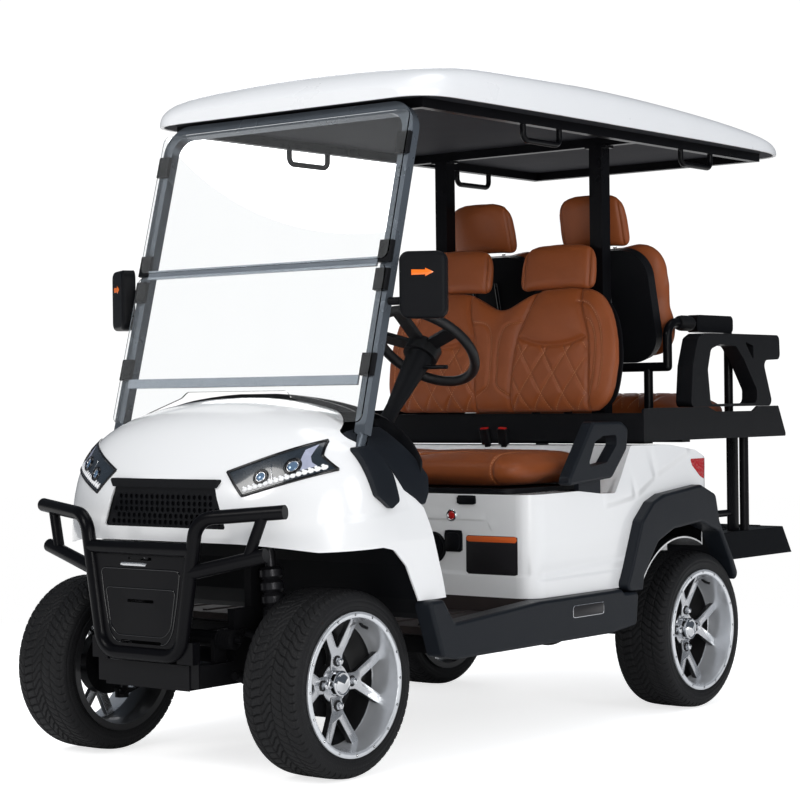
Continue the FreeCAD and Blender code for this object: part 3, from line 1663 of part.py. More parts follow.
def stems():
    """Steel stems between each headrest and the backrest below it."""
    front = backrest_back_y() - backrest_depth / 2
    rear = shell_y() + shell_depth + seat_gap
    solids = []
    for way in (-1, 1):
        x = back_pad_x + way * headrest_half / 2
        low = V(x, front, backrest_high_z + seat_gap)
        stem = rod(low, low.add(V(0, 0, head_gap - 2 * seat_gap)), stem_radius)
        solids.append(leaned(stem))
        x = shell_x + way * rear_head_half / 2
        low = V(x, rear + stem_radius, shell_high_z + seat_gap)
        stem = rod(low, low.add(V(0, 0, head_gap - 2 * seat_gap)), stem_radius)
        solids.append(tilted(stem))
    return solids + [mirrored(stem) for stem in solids]


def rear_headrests():
    low = shell_high_z + head_gap
    outline = rectangle(shell_x - rear_head_half, shell_x + rear_head_half, low, low + rear_head_height)
    y = shell_y() + shell_depth - rear_head_depth / 2
    return tilted(slab_xz(outline, headrest_corner, y, y + rear_head_depth))


def rear_seat_frame():
    """Posts and side hoops that carry the rear backrests on the tray, and the bars below the tray."""
    tilt = math.radians(rear_back_tilt)
    y = shell_y() + shell_depth * (1 - math.cos(tilt))
    low = tray_low_z + tray_wall + seat_gap
    bar_z = shell_low_z - shell_depth * math.sin(tilt) - rear_post_tube - seat_gap
    end_x = arm_inner_x - hoop_side_gap
    bar = rod(V(-end_x, y, bar_z), V(end_x, y, bar_z), rear_post_tube)
    pieces = []
    for side in (-1, 1):
        for way in (-1, 1):
            x = side * (shell_x + way * (shell_half - 3 * rear_post_tube))
            pieces.append(rod(V(x, y, low), V(x, y, bar_z), rear_post_tube))
    hoop = side_hoop(end_x, y, bar_z, low)
    pieces += [hoop, mirrored(hoop)]
    solids = [bar.fuse(pieces).removeSplitter()]
    deck = body_low_z + body_height * max(b for a, b in body_side_shares) + seat_gap
    for ahead in tray_bar_aheads:
        y0 = by(-ahead)
        solids.append(box(-arm_inner_x, arm_inner_x, y0, y0 + tray_bar_width, deck, tray_low_z - seat_gap))
    return solids


def side_hoop(x, y, z0, low):
    """A bent tube from the end of the cross bar, back beside the seat and down, with its arm pad."""
    y1 = by(hoop_behind)
    points = [V(x, y, z0), V(x, y, hoop_z), V(x, y1, hoop_z), V(x, y1, low)]
    knee = Part.makeSphere(rear_post_tube, points[0])
    outline = rectangle(by(hoop_pad_start), y1, hoop_z - hoop_pad_height / 2, hoop_z + hoop_pad_height / 2)
    pad = slab_yz(outline, hoop_pad_corner, x - hoop_pad_width / 2, x + hoop_pad_width / 2)
    return tube(points, rear_post_tube, hoop_bend).fuse([knee, pad]).removeSplitter()


def rear_armrests():
    outer = spread(arm_outer_shares, by(-arm_ahead), arm_length, arm_low_z(), arm_height)
    frame = slab_yz(outer, arm_corner, arm_inner_x, tray_half)
    holes = []
    for shares, corner in ((arm_inner_shares, arm_corner), (arm_notch_shares, arm_notch_corner)):
        hole = spread(shares, by(-arm_ahead), arm_length, arm_low_z(), arm_height)
        holes.append(slab_yz(hole, corner, arm_inner_x - cut_overrun, tray_half + cut_overrun))
    return frame.cut(holes)


def arm_low_z():
    return tray_low_z + tray_height * tray_side_shares[3][1] + seat_gap


# Step


def rear_step():
    """Foot step behind the rear seat: a flared moulding with ribs on top and an open underside."""
    y1 = overall_length / 2
    y0 = y1 - step_length
    top = rounded_wire(rectangle(-step_half, step_half, y0, y1 - step_flare), step_corner,
                       lambda x, y: V(x, y, step_high_z))
    low = rounded_wire(rectangle(-step_half - step_flare, step_half + step_flare, y0 - step_flare, y1),
                       step_corner, lambda x, y: V(x, y, step_low_z))
    outer = Part.makeLoft([low, top], True, True)
    top_in = rounded_wire(rectangle(-step_half + step_wall, step_half - step_wall, y0 + step_wall,
                                    y1 - step_flare - step_wall), step_corner,
                          lambda x, y: V(x, y, step_high_z - step_wall))
    low_in = rounded_wire(rectangle(-step_half - step_flare + step_wall, step_half + step_flare - step_wall,
                                    y0 - step_flare + step_wall, y1 - step_wall), step_corner,
                          lambda x, y: V(x, y, step_low_z))
    solid = outer.cut(Part.makeLoft([low_in, top_in], True, True))
    pitch = (step_length - step_flare) / step_rib_count
    ribs = []
    for i in range(step_rib_count):
        y = y0 + pitch * (i + 1 / 2)
        reach = step_plate_x - 2 * step_post_tube
        ribs.append(box(-reach, reach, y - step_rib_width / 2,
                        y + step_rib_width / 2, step_high_z, step_high_z + step_rib_height))
    return solid.fuse(ribs).removeSplitter()


def step_posts():
    """A round post and a flat plate on each side from the tray to the step, braced to the rear body."""
    y = by(step_post_behind)
    top = tray_low_z - seat_gap
    low = step_high_z + seat_gap
    pieces = []
    for side in (-1, 1):
        post = rod(V(side * step_post_x, y, low), V(side * step_post_x, y, top), step_post_tube)
        x = side * step_plate_x
        half = step_plate_thickness / 2
        y0 = by(step_plate_behind)
        plate = box(x - half, x + half, y0, y0 + step_plate_length, low, top)
        brace = rod(V(x, by(seat_gap), step_brace_z), V(x, y0 + half, step_brace_z), step_brace_tube)
        pieces += [post, plate.fuse(brace).removeSplitter()]
    return pieces


# Steering


def column_way():
    low = V(column_x, fy(column_low_behind), column_low_z)
    high = V(column_x, fy(column_high_behind), column_high_z)
    return low, high


def steering_column():
    """Column with its boot on the dash, the shroud below the wheel and one stalk."""
    low, high = column_way()
    way = high.sub(low).normalize()
    start = low.sub(V(way).multiply(boot_length))
    body = rod(start, high, column_radius)
    boot = Part.makeCone(boot_radius, column_radius, 2 * boot_length, start, way)
    shroud_start = high.sub(V(way).multiply(shroud_length))
    shroud = Part.makeCone(column_radius, shroud_radius, shroud_length - fit_gap, shroud_start, way)
    middle = high.sub(V(way).multiply(shroud_radius))
    stalk = rod(middle, middle.add(V(stalk_length, 0, 0)), stalk_radius)
    column = body.fuse([boot, shroud, stalk])
    return column.cut(dash_cutter()).removeSplitter()


def steering_wheel():
    """Rim, hub and three spokes, square to the column."""
    low, high = column_way()
    way = high.sub(low).normalize()
    start = high.add(V(way).multiply(fit_gap))
    hub = Part.makeCylinder(steer_hub_radius, steer_hub_height, origin, axis_z)
    ring = Part.makeTorus(steer_wheel_radius - steer_rim_tube, steer_rim_tube,
                          V(0, 0, steer_hub_height), axis_z)
    spokes = []
    for angle in steer_spoke_angles:
        spoke = box(0, steer_wheel_radius - steer_rim_tube, -steer_spoke_width / 2, steer_spoke_width / 2,
                    steer_hub_height - steer_spoke_thickness, steer_hub_height)
        spoke.rotate(origin, axis_z, angle)
        spokes.append(spoke)
    wheel = hub.fuse(spokes + [ring]).removeSplitter()
    tilt = FreeCAD.Rotation(axis_z, way)
    wheel.Placement = FreeCAD.Placement(start, tilt)
    return wheel


# Mirrors


def mirror():
    y = fy(mirror_behind) - mirror_depth / 2
    outline = rectangle(mirror_x - mirror_width / 2, mirror_x + mirror_width / 2,
                        mirror_z - mirror_height / 2, mirror_z + mirror_height / 2)
    head = slab_xz(outline, mirror_corner, y, y + mirror_depth)
    head = softened(head, 1, y, mirror_edge)
    head.rotate(V(mirror_x, fy(mirror_behind), mirror_z), axis_z, mirror_yaw)
    z = mirror_z - mirror_arm_drop
    post_y = screen_line(z)
    x0 = screen_foot_x + screen_tube_width / 2 + seat_gap
    arm = rod(V(screen_foot_x, post_y, z), V(mirror_x, y + mirror_depth / 2, z), mirror_arm)
    arm = arm.common(box(x0, mirror_x, cowl_y(), y + mirror_depth, z - mirror_arm, z + mirror_arm))
    return head.fuse(arm).removeSplitter()


def save(name, shapes):
    solids = []
    for shape in shapes if isinstance(shapes, list) else [shapes]:
        solids += shape.Solids
    whole = solids[0] if len(solids) == 1 else Part.makeCompound(solids)
    whole.exportStep("parts/" + name + ".step")
    print(name, len(solids), "valid" if whole.isValid() else "NOT VALID")


def main():
    os.makedirs("parts", exist_ok=True)
    outer = cowl_solid(0)
    tail = tail_lamp()
    left_knuckle = knuckle()
    corners = {
        "front_left": (1, front_wheel_x, front_axle_y), "front_right": (-1, front_wheel_x, front_axle_y),
        "rear_left": (1, rear_wheel_x, rear_axle_y), "rear_right": (-1, rear_wheel_x, rear_axle_y),
    }
    for name, place in corners.items():
        save("tyre_" + name, tyre(*place))
        save("rim_" + name, rim(*place))
    save("knuckle_left", left_knuckle)
    save("knuckle_right", mirrored(left_knuckle))
    save("chassis_frame", chassis_frame())
    save("front_arms", [both(lower_arm()), both(upper_arm())])
    save("front_shocks", both(shock()))
    save("steering_rack", steering_rack())
    save("rear_axle", rear_axle())
    save("rear_leaf_springs", both(leaf_springs()))
    save("battery_block", battery_block())
    save("brush_guard", brush_guard())
    save("skid_box", skid_box())
    save("front_cowl", front_cowl(outer))
    save("front_liner", front_liner())
    save("headlights", headlights(outer))
    save("grille", grille())
    pad = knee_pad()
    save("dash_panel", dash_panel(pad))
    save("knee_pads", both(pad))
    save("pedals", pedals())
    save("windshield_frame", screen_frame())
    save("windshield_panes", windshield_panes())
    save("windshield_rails", windshield_rails())
    save("post_covers", both(post_covers(pad)))
    save("roof_shell", roof_shell())
    save("roof_liner", roof_liner())
    save("roof_frame", roof_frame())
    save("roof_posts", roof_posts())
    save("floor_pan", floor_pan())
    save("rockers", both(rockers()))
    save("rear_body", rear_body(tail))
    save("rear_flares", both(rear_flares()))
    save("tail_lamps", both(tail))
    save("seat_pan", seat_pan())
    save("front_cushion", front_cushion())
    save("front_backrest", front_backrest())
    save("front_headrests", both(front_headrests()))
    save("hip_handles", both(hip_handles()))
    save("rear_tray", rear_tray())
    save("rear_cushion", rear_cushion())
    save("rear_seat_shells", both(rear_shells()))
    save("rear_backrests", both(rear_backrests()))
    save("rear_headrests", both(rear_headrests()))
    save("headrest_stems", stems())
    save("rear_seat_frame", rear_seat_frame())
    save("rear_armrests", both(rear_armrests()))
    save("rear_step", rear_step())
    save("step_posts", step_posts())
    save("steering_column", steering_column())
    save("steering_wheel", steering_wheel())
    save("side_mirrors", both(mirror()))


main()
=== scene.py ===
import json
import math

import bmesh
import bpy
import numpy as np
from mathutils import Matrix, Vector
from mathutils.bvhtree import BVHTree


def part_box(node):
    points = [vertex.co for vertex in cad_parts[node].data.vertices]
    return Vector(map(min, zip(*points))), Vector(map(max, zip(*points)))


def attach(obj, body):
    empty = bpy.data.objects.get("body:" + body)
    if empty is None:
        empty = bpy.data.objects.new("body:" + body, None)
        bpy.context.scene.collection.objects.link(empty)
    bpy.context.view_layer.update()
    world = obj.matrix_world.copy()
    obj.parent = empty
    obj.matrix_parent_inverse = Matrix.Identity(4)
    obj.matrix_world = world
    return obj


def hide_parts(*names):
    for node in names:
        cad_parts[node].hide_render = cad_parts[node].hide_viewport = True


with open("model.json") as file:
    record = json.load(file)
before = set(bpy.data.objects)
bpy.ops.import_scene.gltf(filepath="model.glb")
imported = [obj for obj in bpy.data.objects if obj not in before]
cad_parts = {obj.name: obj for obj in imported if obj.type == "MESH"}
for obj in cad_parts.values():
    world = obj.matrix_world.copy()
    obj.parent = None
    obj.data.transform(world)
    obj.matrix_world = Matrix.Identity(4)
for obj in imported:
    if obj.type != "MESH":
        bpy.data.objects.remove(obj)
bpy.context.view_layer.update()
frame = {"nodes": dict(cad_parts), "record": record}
cad = frame["nodes"]
scene = bpy.context.scene

# Wheel places, sizes and the tilts of the backrests, in metres and degrees
TYRE_RADIUS = 0.250
TYRE_HALF = 0.094
BEAD_RADIUS = 0.1784
RIM_HALF = 0.0975
FLANGE_RADIUS = 0.1926
WHEELS = {
    "front_left": (1, 0.433, -1.1165), "front_right": (-1, 0.433, -1.1165),
    "rear_left": (1, 0.511, 0.5335), "rear_right": (-1, 0.511, 0.5335),
}
FRONT_TILT = math.radians(-9.0)
REAR_TILT = math.radians(14.0)
FRONT_PIVOT = (0.0, 0.3432, 1.244)
REAR_PIVOT = (0.0, 0.6135, 1.122)
NUT_CIRCLE = 0.0590
RIVET_CIRCLE = 0.1850
TREAD_BLOCKS = 66
TREAD_STEPS = 800
TREAD_ACROSS = 118

# The seat box's front face, the rockers' outer faces, the middles of the seat places
BOX_FRONT = -0.3515
ROCKER_SIDE = 0.602
FRONT_PLACE = 0.221
REAR_PLACE = 0.226
SIDES = ((-1, "right"), (1, "left"))

# The camera: its place, its turn in degrees and its focal length in pixels of an 800 pixel wide frame
EYE = (4.1225, -5.4254, 0.99575)
EYE_TURN = (-38.5569, 0.0202, -0.6765)
FOCAL_PIXELS = 2134.85


# Meshes

def grid_faces(rows, columns, wrap_rows=False, wrap_columns=False):
    """Quads between neighbouring points of a grid numbered row by row."""
    i = np.arange(rows if wrap_rows else rows - 1)
    j = np.arange(columns if wrap_columns else columns - 1)
    a, b = np.meshgrid(i, j, indexing="ij")
    c, d = (a + 1) % rows, (b + 1) % columns
    quads = [a * columns + b, a * columns + d, c * columns + d, c * columns + b]
    return np.stack(quads, -1).reshape(-1, 4)


def joined(parts):
    """Several (points, faces) pairs as one pair; faces are lists of numbers."""
    points, faces, base = [], [], 0
    for p, f in parts:
        p = np.asarray(p, float).reshape(-1, 3)
        points.append(p)
        faces += [[int(k) + base for k in face] for face in f]
        base += len(p)
    return np.concatenate(points), faces


def made(name, parts, material, body=None, weld=1e-5, smooth=True, angle=35.0):
    """One object from (points, faces) pairs: doubles merged, faces turned outwards, edges sharp above an angle."""
    points, faces = joined(parts if isinstance(parts, list) else [parts])
    mesh = bpy.data.meshes.new(name)
    mesh.from_pydata(points.tolist(), [], faces)
    work = bmesh.new()
    work.from_mesh(mesh)
    if weld:
        bmesh.ops.remove_doubles(work, verts=work.verts, dist=weld)
        bmesh.ops.dissolve_degenerate(work, edges=work.edges, dist=weld / 10)
    bmesh.ops.recalc_face_normals(work, faces=work.faces)
    work.to_mesh(mesh)
    work.free()
    obj = bpy.data.objects.new(name, mesh)
    scene.collection.objects.link(obj)
    if smooth:
        mesh.shade_smooth()
        mesh.set_sharp_from_angle(angle=math.radians(angle))
    if material:
        mesh.materials.append(material)
    if body:
        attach(obj, body)
    return obj


def turned(profile, centre, axis, count=64):
    """A profile of (along, radius) pairs turned about an axis through a centre."""
    axis = np.array(axis, float) / np.linalg.norm(axis)
    side = np.cross(axis, [0.0, 0.0, 1.0] if abs(axis[2]) < 0.9 else [1.0, 0.0, 0.0])
    side /= np.linalg.norm(side)
    up = np.cross(axis, side)
    profile = np.array(profile, float)
    t = np.linspace(0, 2 * np.pi, count, endpoint=False)
    ring = np.cos(t)[:, None] * side + np.sin(t)[:, None] * up
    points = (np.array(centre) + profile[:, 0, None, None] * axis
              + profile[:, 1, None, None] * ring[None])
    return points.reshape(-1, 3), grid_faces(len(profile), count, wrap_columns=True)


def smooth_path(points, step=0.01, closed=False):
    """A Catmull-Rom curve through the points, read at about equal steps."""
    p = np.array(points, float)
    if closed:
        p = np.concatenate([p[-1:], p, p[:2]])
    else:
        p = np.concatenate([2 * p[:1] - p[1:2], p, 2 * p[-1:] - p[-2:-1]])
    out = []
    for i in range(1, len(p) - 2):
        n = max(2, int(np.linalg.norm(p[i + 1] - p[i]) / step))
        t = np.linspace(0, 1, n, endpoint=False)[:, None]
        out.append(0.5 * (2 * p[i] + (p[i + 1] - p[i - 1]) * t
                          + (2 * p[i - 1] - 5 * p[i] + 4 * p[i + 1] - p[i + 2]) * t ** 2
                          + (3 * p[i] - p[i - 1] - 3 * p[i + 1] + p[i + 2]) * t ** 3))
    if not closed:
        out.append(p[-2:-1])
    return np.concatenate(out)


def swept(path, section, closed=False, up=(0.0, 0.0, 1.0)):
    """A section of (across, up) points carried along a path; each ring stands square to the path."""
    path = np.array(path, float)
    if closed:
        way = np.roll(path, -1, 0) - np.roll(path, 1, 0)
    else:
        way = np.gradient(path, axis=0)
    way /= np.linalg.norm(way, axis=1)[:, None]
    up = np.broadcast_to(np.array(up, float), way.shape)
    across = np.cross(way, up)
    across /= np.linalg.norm(across, axis=1)[:, None]
    lift = np.cross(across, way)
    section = np.array(section, float)
    if section.ndim == 2:
        section = np.broadcast_to(section, (len(path),) + section.shape)
    points = (path[:, None] + section[:, :, :1] * across[:, None] + section[:, :, 1:] * lift[:, None])
    n, m = points.shape[:2]
    faces = [list(f) for f in grid_faces(n, m, wrap_rows=closed, wrap_columns=True)]
    if not closed:
        faces += [list(range(m)), list(range((n - 1) * m, n * m))]
    return points.reshape(-1, 3), faces


def round_section(radius, count=16):
    """A circle of radius * (cos, sin), as (across, up) points."""
    t = np.linspace(0, 2 * np.pi, count, endpoint=False)
    return np.stack([radius * np.cos(t), radius * np.sin(t)], -1)


def box_section(width, height, edge, steps=3):
    """A rectangle with rounded corners, as (across, up) points."""
    out = []
    for k, (a, b) in enumerate(((1, 1), (-1, 1), (-1, -1), (1, -1))):
        t = np.linspace(k * np.pi / 2, (k + 1) * np.pi / 2, steps + 1)
        out.append(np.stack([a * (width / 2 - edge) + edge * np.cos(t),
                             b * (height / 2 - edge) + edge * np.sin(t)], -1))
    return np.concatenate(out)


def rounded(corners, radius, steps=6):
    """A closed outline with each corner replaced by an arc-like curve that starts a radius away."""
    p = np.array(corners, float)
    out = []
    for k in range(len(p)):
        back, ahead = p[k - 1] - p[k], p[(k + 1) % len(p)] - p[k]
        lb, la = np.linalg.norm(back), np.linalg.norm(ahead)
        r = min(radius, 0.45 * lb, 0.45 * la)
        a, b = p[k] + back / lb * r, p[k] + ahead / la * r
        t = np.linspace(0, 1, steps)[:, None]
        out.append((1 - t) ** 2 * a + 2 * t * (1 - t) * p[k] + t ** 2 * b)
    return np.concatenate(out)


def inset(outline, reach):
    """The outline moved inwards by a reach along the mean normal at each point."""
    p = np.array(outline, float)
    way = np.roll(p, -1, 0) - np.roll(p, 1, 0)
    way /= np.linalg.norm(way, axis=1)[:, None] + 1e-12
    area = np.sum(p[:, 0] * np.roll(p[:, 1], -1) - np.roll(p[:, 0], -1) * p[:, 1])
    normal = np.stack([-way[:, 1], way[:, 0]], -1) * (1 if area > 0 else -1)
    return p + normal * reach


def rounded_box(u0, u1, v0, v1, radius, steps=10):
    """A rectangle between two corners, with rounded corners."""
    return rounded([(u0, v0), (u1, v0), (u1, v1), (u0, v1)], radius, steps)


def dense(outline, step=0.012):
    """The outline read again at equal steps along its length."""
    p = np.concatenate([outline, outline[:1]])
    arc = np.concatenate([[0], np.cumsum(np.linalg.norm(np.diff(p, axis=0), axis=1))])
    at = np.arange(0, arc[-1] - step / 2, step)
    return np.stack([np.interp(at, arc, p[:, k]) for k in (0, 1)], -1)


def plate(outline, low, high, edge, place):
    """A flat piece with softened edges; place turns (u, v, w) arrays into points."""
    rings = [(inset(outline, edge), low), (inset(outline, edge * 0.3), low + edge * 0.3),
             (outline, low + edge), (outline, high - edge),
             (inset(outline, edge * 0.3), high - edge * 0.3), (inset(outline, edge), high)]
    points = [place(r[:, 0], r[:, 1], np.full(len(r), w)) for r, w in rings]
    n = len(outline)
    faces = [list(f) for f in grid_faces(len(rings), n, wrap_columns=True)]
    faces += [list(range(n)), list(range((len(rings) - 1) * n, len(rings) * n))]
    return np.concatenate(points), faces


def in_yz(x0, side=1):
    """Places (u, v, w) with u along Y, v along Z and w out from the plane x0."""
    return lambda u, v, w: np.stack([x0 + side * w, u, v], -1)


def in_xz(y0, side=1):
    """Places (u, v, w) with u along X, v along Z and w out from the plane y0."""
    return lambda u, v, w: np.stack([u, y0 + side * w, v], -1)


def rotated_x(points, pivot, angle):
    """Points turned about a line along X through a pivot."""
    p = np.array(points, float) - pivot
    c, s = math.cos(angle), math.sin(angle)
    return np.stack([p[..., 0], c * p[..., 1] - s * p[..., 2], s * p[..., 1] + c * p[..., 2]], -1) + pivot


def read(items, key, kind=float, width=3):
    """An array with one row per vertex, edge or face of a mesh."""
    out = np.zeros(len(items) * width, kind)
    items.foreach_get(key, out)
    return out.reshape(-1, width)


def put(obj, points):
    """Writes an array of points into a piece."""
    obj.data.vertices.foreach_set("co", points.reshape(-1))
    obj.data.update()


# Materials

def shader(tree, kind, inputs=None, out=0, **settings):
    """Adds a shader node, sets it, fills its inputs with values or links, and returns one of its outputs."""
    node = tree.nodes.new("ShaderNode" + kind)
    for key, value in settings.items():
        setattr(node, key, value)
    for key, value in (inputs or {}).items():
        if isinstance(value, bpy.types.NodeSocket):
            tree.links.new(value, node.inputs[key])
        else:
            node.inputs[key].default_value = value
    return node.outputs[out]


def tuned(mat, **sockets):
    """Sets values, or links, on a material's main shader; a socket's name has _ for each space."""
    tree = mat.node_tree
    for key, value in sockets.items():
        socket = tree.nodes["Principled BSDF"].inputs[key.replace("_", " ")]
        if isinstance(value, bpy.types.NodeSocket):
            tree.links.new(value, socket)
        else:
            socket.default_value = value
    return mat


def material(name, color, rough, metal=0.0, vary=0.06, vary_scale=7.0, rough_vary=0.08, grain=0.0,
             grain_scale=700.0, cells=False, coat=0.0, specular=0.5, wear=0.0):
    """A surface whose colour and roughness drift slowly with place, with a fine grain in its bump."""
    mat = bpy.data.materials.new(name)
    mat.use_nodes = True
    tree = mat.node_tree
    place = shader(tree, "TexCoord", out="Object")
    drift = shader(tree, "TexNoise", {"Scale": vary_scale, "Detail": 5.0, "Vector": place}, "Fac")
    tint = shader(tree, "Mix", {"A": [c * (1 - vary) for c in color] + [1.0],
                                "B": [min(1.0, c * (1 + vary)) for c in color] + [1.0], "Factor": drift},
                  "Result", data_type="RGBA")
    if wear:
        point = shader(tree, "NewGeometry", out="Pointiness")
        rub = shader(tree, "MapRange", {"From Min": 0.53, "From Max": 0.62, "To Max": wear, "Value": point})
        tint = shader(tree, "Mix", {"A": tint, "B": [min(1.0, c * 1.6 + 0.06) for c in color] + [1.0], "Factor": rub},
                      "Result", data_type="RGBA")
    spread = shader(tree, "MapRange", {"To Min": max(0.0, rough - rough_vary), "To Max": min(1.0, rough + rough_vary),
                                       "Value": drift})
    tuned(mat, Metallic=metal, Coat_Weight=coat, Coat_Roughness=0.06, Specular_IOR_Level=specular, Base_Color=tint,
          Roughness=spread)
    if grain:
        fine = shader(tree, "TexVoronoi" if cells else "TexNoise", {"Scale": grain_scale, "Vector": place},
                      "Distance" if cells else "Fac")
        tuned(mat, Normal=shader(tree, "Bump", {"Strength": grain, "Distance": 0.0006, "Height": fine}))
    return mat


def leather(name, color):
    """Hide with pores from cells and shallow creases from stretched noise."""
    mat = material(name, color, 0.42, vary=0.16, vary_scale=9.0, rough_vary=0.08)
    tree = mat.node_tree
    place = tree.nodes["Texture Coordinate"].outputs["Object"]
    pores = shader(tree, "TexVoronoi", {"Scale": 420.0, "Vector": place}, "Distance", feature="DISTANCE_TO_EDGE")
    crease = shader(tree, "TexNoise", {"Scale": 34.0, "Detail": 6.0, "Distortion": 1.2, "Vector": place}, "Fac")
    skin = shader(tree, "Bump", {"Strength": 0.20, "Distance": 0.0008, "Height": pores})
    skin = shader(tree, "Bump", {"Strength": 0.16, "Distance": 0.004, "Height": crease, "Normal": skin})
    return tuned(mat, Sheen_Weight=0.02, Sheen_Roughness=0.5, Specular_IOR_Level=0.28, Normal=skin)


def clear(name, tint, rough=0.0, ior=1.46):
    """Clear sheet or lens: it lets light through, with a faint tint and a little haze."""
    return tuned(material(name, tint, rough, vary=0.01, rough_vary=0.01), Transmission_Weight=1.0, IOR=ior)


body_white = material("body_gloss_white", (0.84, 0.845, 0.85), 0.22, vary=0.012, vary_scale=3.0, rough_vary=0.03,
                      grain=0.03, grain_scale=220.0, coat=0.7)
roof_white = material("roof_white", (0.84, 0.85, 0.865), 0.30, vary=0.015, grain=0.05, grain_scale=260.0, coat=0.35)
liner_grey = material("ceiling_grey", (0.030, 0.031, 0.036), 0.75, vary=0.12, grain=0.25, grain_scale=260.0,
                      specular=0.06)
black_plastic = material("grained_black_plastic", (0.0050, 0.0054, 0.0068), 0.40, vary=0.18, grain=0.35,
                         grain_scale=1100.0, cells=True, specular=0.12, wear=0.03)
flare_plastic = material("arch_black_plastic", (0.0095, 0.0118, 0.0160), 0.38, vary=0.15, grain=0.25,
                         grain_scale=1200.0, cells=True, specular=0.19, wear=0.04)
black_tube = material("black_tube_coat", (0.0034, 0.0034, 0.0044), 0.30, vary=0.2, grain=0.12, grain_scale=520.0,
                      specular=0.12, wear=0.04)
black_steel = material("black_chassis_paint", (0.0036, 0.0036, 0.0044), 0.42, vary=0.35, vary_scale=14.0, grain=0.2,
                       grain_scale=300.0, specular=0.08, wear=0.08)
spring_steel = material("dark_spring_steel", (0.02, 0.02, 0.023), 0.34, metal=0.6, vary=0.2, grain=0.2)
screen_paint = material("screen_frame_grey", (0.13, 0.15, 0.175), 0.26, metal=0.55, vary=0.12, grain=0.06)
rail_clear = material("screen_rail_grey", (0.36, 0.40, 0.45), 0.22, metal=0.6, vary=0.10)
mat_rubber = material("floor_mat_rubber", (0.034, 0.026, 0.025), 0.7, vary=0.25, vary_scale=20.0, grain=0.6,
                      grain_scale=800.0, specular=0.25)
battery_black = material("battery_case", (0.02, 0.02, 0.023), 0.6, grain=0.3, specular=0.3)
rubber_black = material("soft_black_rubber", (0.006, 0.006, 0.007), 0.55, vary=0.2, grain=0.4, grain_scale=900.0,
                        specular=0.3)
chrome = material("chrome", (0.82, 0.83, 0.85), 0.07, metal=1.0, vary=0.04, rough_vary=0.03)
machined = material("machined_face", (0.66, 0.67, 0.69), 0.24, metal=0.85, vary=0.05, vary_scale=40.0, rough_vary=0.07)
grip = material("hand_wheel_grip", (0.0058, 0.0060, 0.0070), 0.42, specular=0.36, vary=0.2, grain=0.5,
                grain_scale=700.0, cells=True)
brown = leather("brown_leather", (0.250, 0.064, 0.0175))
thread = material("tan_thread", (0.62, 0.29, 0.13), 0.6, grain=0.5, grain_scale=2500.0)
clear_sheet = clear("clear_sheet", (0.96, 0.975, 0.98))
lens_clear = clear("lamp_lens", (0.93, 0.95, 0.98), rough=0.02, ior=1.2)
red_lens = material("red_lens", (0.42, 0.010, 0.014), 0.12, vary=0.2, vary_scale=60.0, grain=0.8, grain_scale=120.0,
                    cells=True, coat=0.6)


def creased(mat, runs):
    """Soft ridges pressed into a skin. For each run, height = a quick smoothstep up across a line times a slow one
    down again beyond it, within the line's length, and a gate on another coordinate picks the side of the body."""
    tree = mat.node_tree

    def maths(kind, *values):
        return shader(tree, "Math", dict(enumerate(values)), operation=kind)

    def ramp(value, low, high):
        return shader(tree, "MapRange", {"From Min": low, "From Max": high, "Value": value},
                      interpolation_type="SMOOTHSTEP")

    place = shader(tree, "SeparateXYZ", {"Vector": tree.nodes["Texture Coordinate"].outputs["Object"]})
    place = dict(zip("xyz", place.node.outputs))
    place["x"] = maths("ABSOLUTE", place["x"])
    place["box front"] = maths("ABSOLUTE", maths("ADD", place["y"], -BOX_FRONT))
    total = None
    for (u, v), (u0, v0), (u1, v1), width, height, (g, low, high) in runs:
        long = math.hypot(u1 - u0, v1 - v0)
        tu, tv = (u1 - u0) / long, (v1 - v0) / long
        side = maths("MULTIPLY_ADD", place[u], -tv, u0 * tv - v0 * tu)
        side = maths("MULTIPLY_ADD", place[v], tu, side)
        along = maths("MULTIPLY_ADD", place[u], tu, -u0 * tu - v0 * tv)
        along = maths("MULTIPLY_ADD", place[v], tv, along)
        step = maths("MULTIPLY", ramp(side, -width, width), height)
        for gate in (ramp(side, width * 9, width), ramp(along, 0.0, 0.03), ramp(along, long, long - 0.03),
                     ramp(place[g], low, high)):
            step = maths("MULTIPLY", step, gate)
        total = step if total is None else maths("ADD", total, step)
    tuned(mat, Normal=shader(tree, "Bump", {"Strength": 1.0, "Distance": 1.0, "Height": total,
                                            "Normal": tree.nodes["Bump"].outputs["Normal"]}))


# Which side of the body a ridge is on: a coordinate, and where its gate starts and is fully open
SIDE, FRONT = ("x", 0.535, 0.555), ("box front", 0.020, 0.010)
creased(body_white, [
    (("y", "z"), (-0.330, 0.466), (0.150, 0.470), 0.006, -0.0050, SIDE),
    (("y", "z"), (-0.330, 0.478), (0.170, 0.506), 0.010, -0.0050, SIDE),
    (("x", "z"), (0.080, 0.484), (0.560, 0.482), 0.008, -0.0040, FRONT),
    (("x", "z"), (0.060, 0.640), (0.400, 0.640), 0.004, 0.0020, FRONT),
    (("x", "z"), (0.398, 0.641), (0.424, 0.600), 0.004, 0.0020, FRONT),
    (("y", "z"), (0.020, 0.664), (0.210, 0.690), 0.012, 0.0060, SIDE),
    (("y", "z"), (0.205, 0.689), (0.330, 0.752), 0.014, 0.0060, SIDE),
    (("y", "z"), (0.320, 0.748), (0.540, 0.822), 0.014, 0.0060, SIDE),
    (("y", "z"), (-1.240, 0.672), (-0.900, 0.712), 0.012, -0.0040, ("x", 0.46, 0.50)),
])

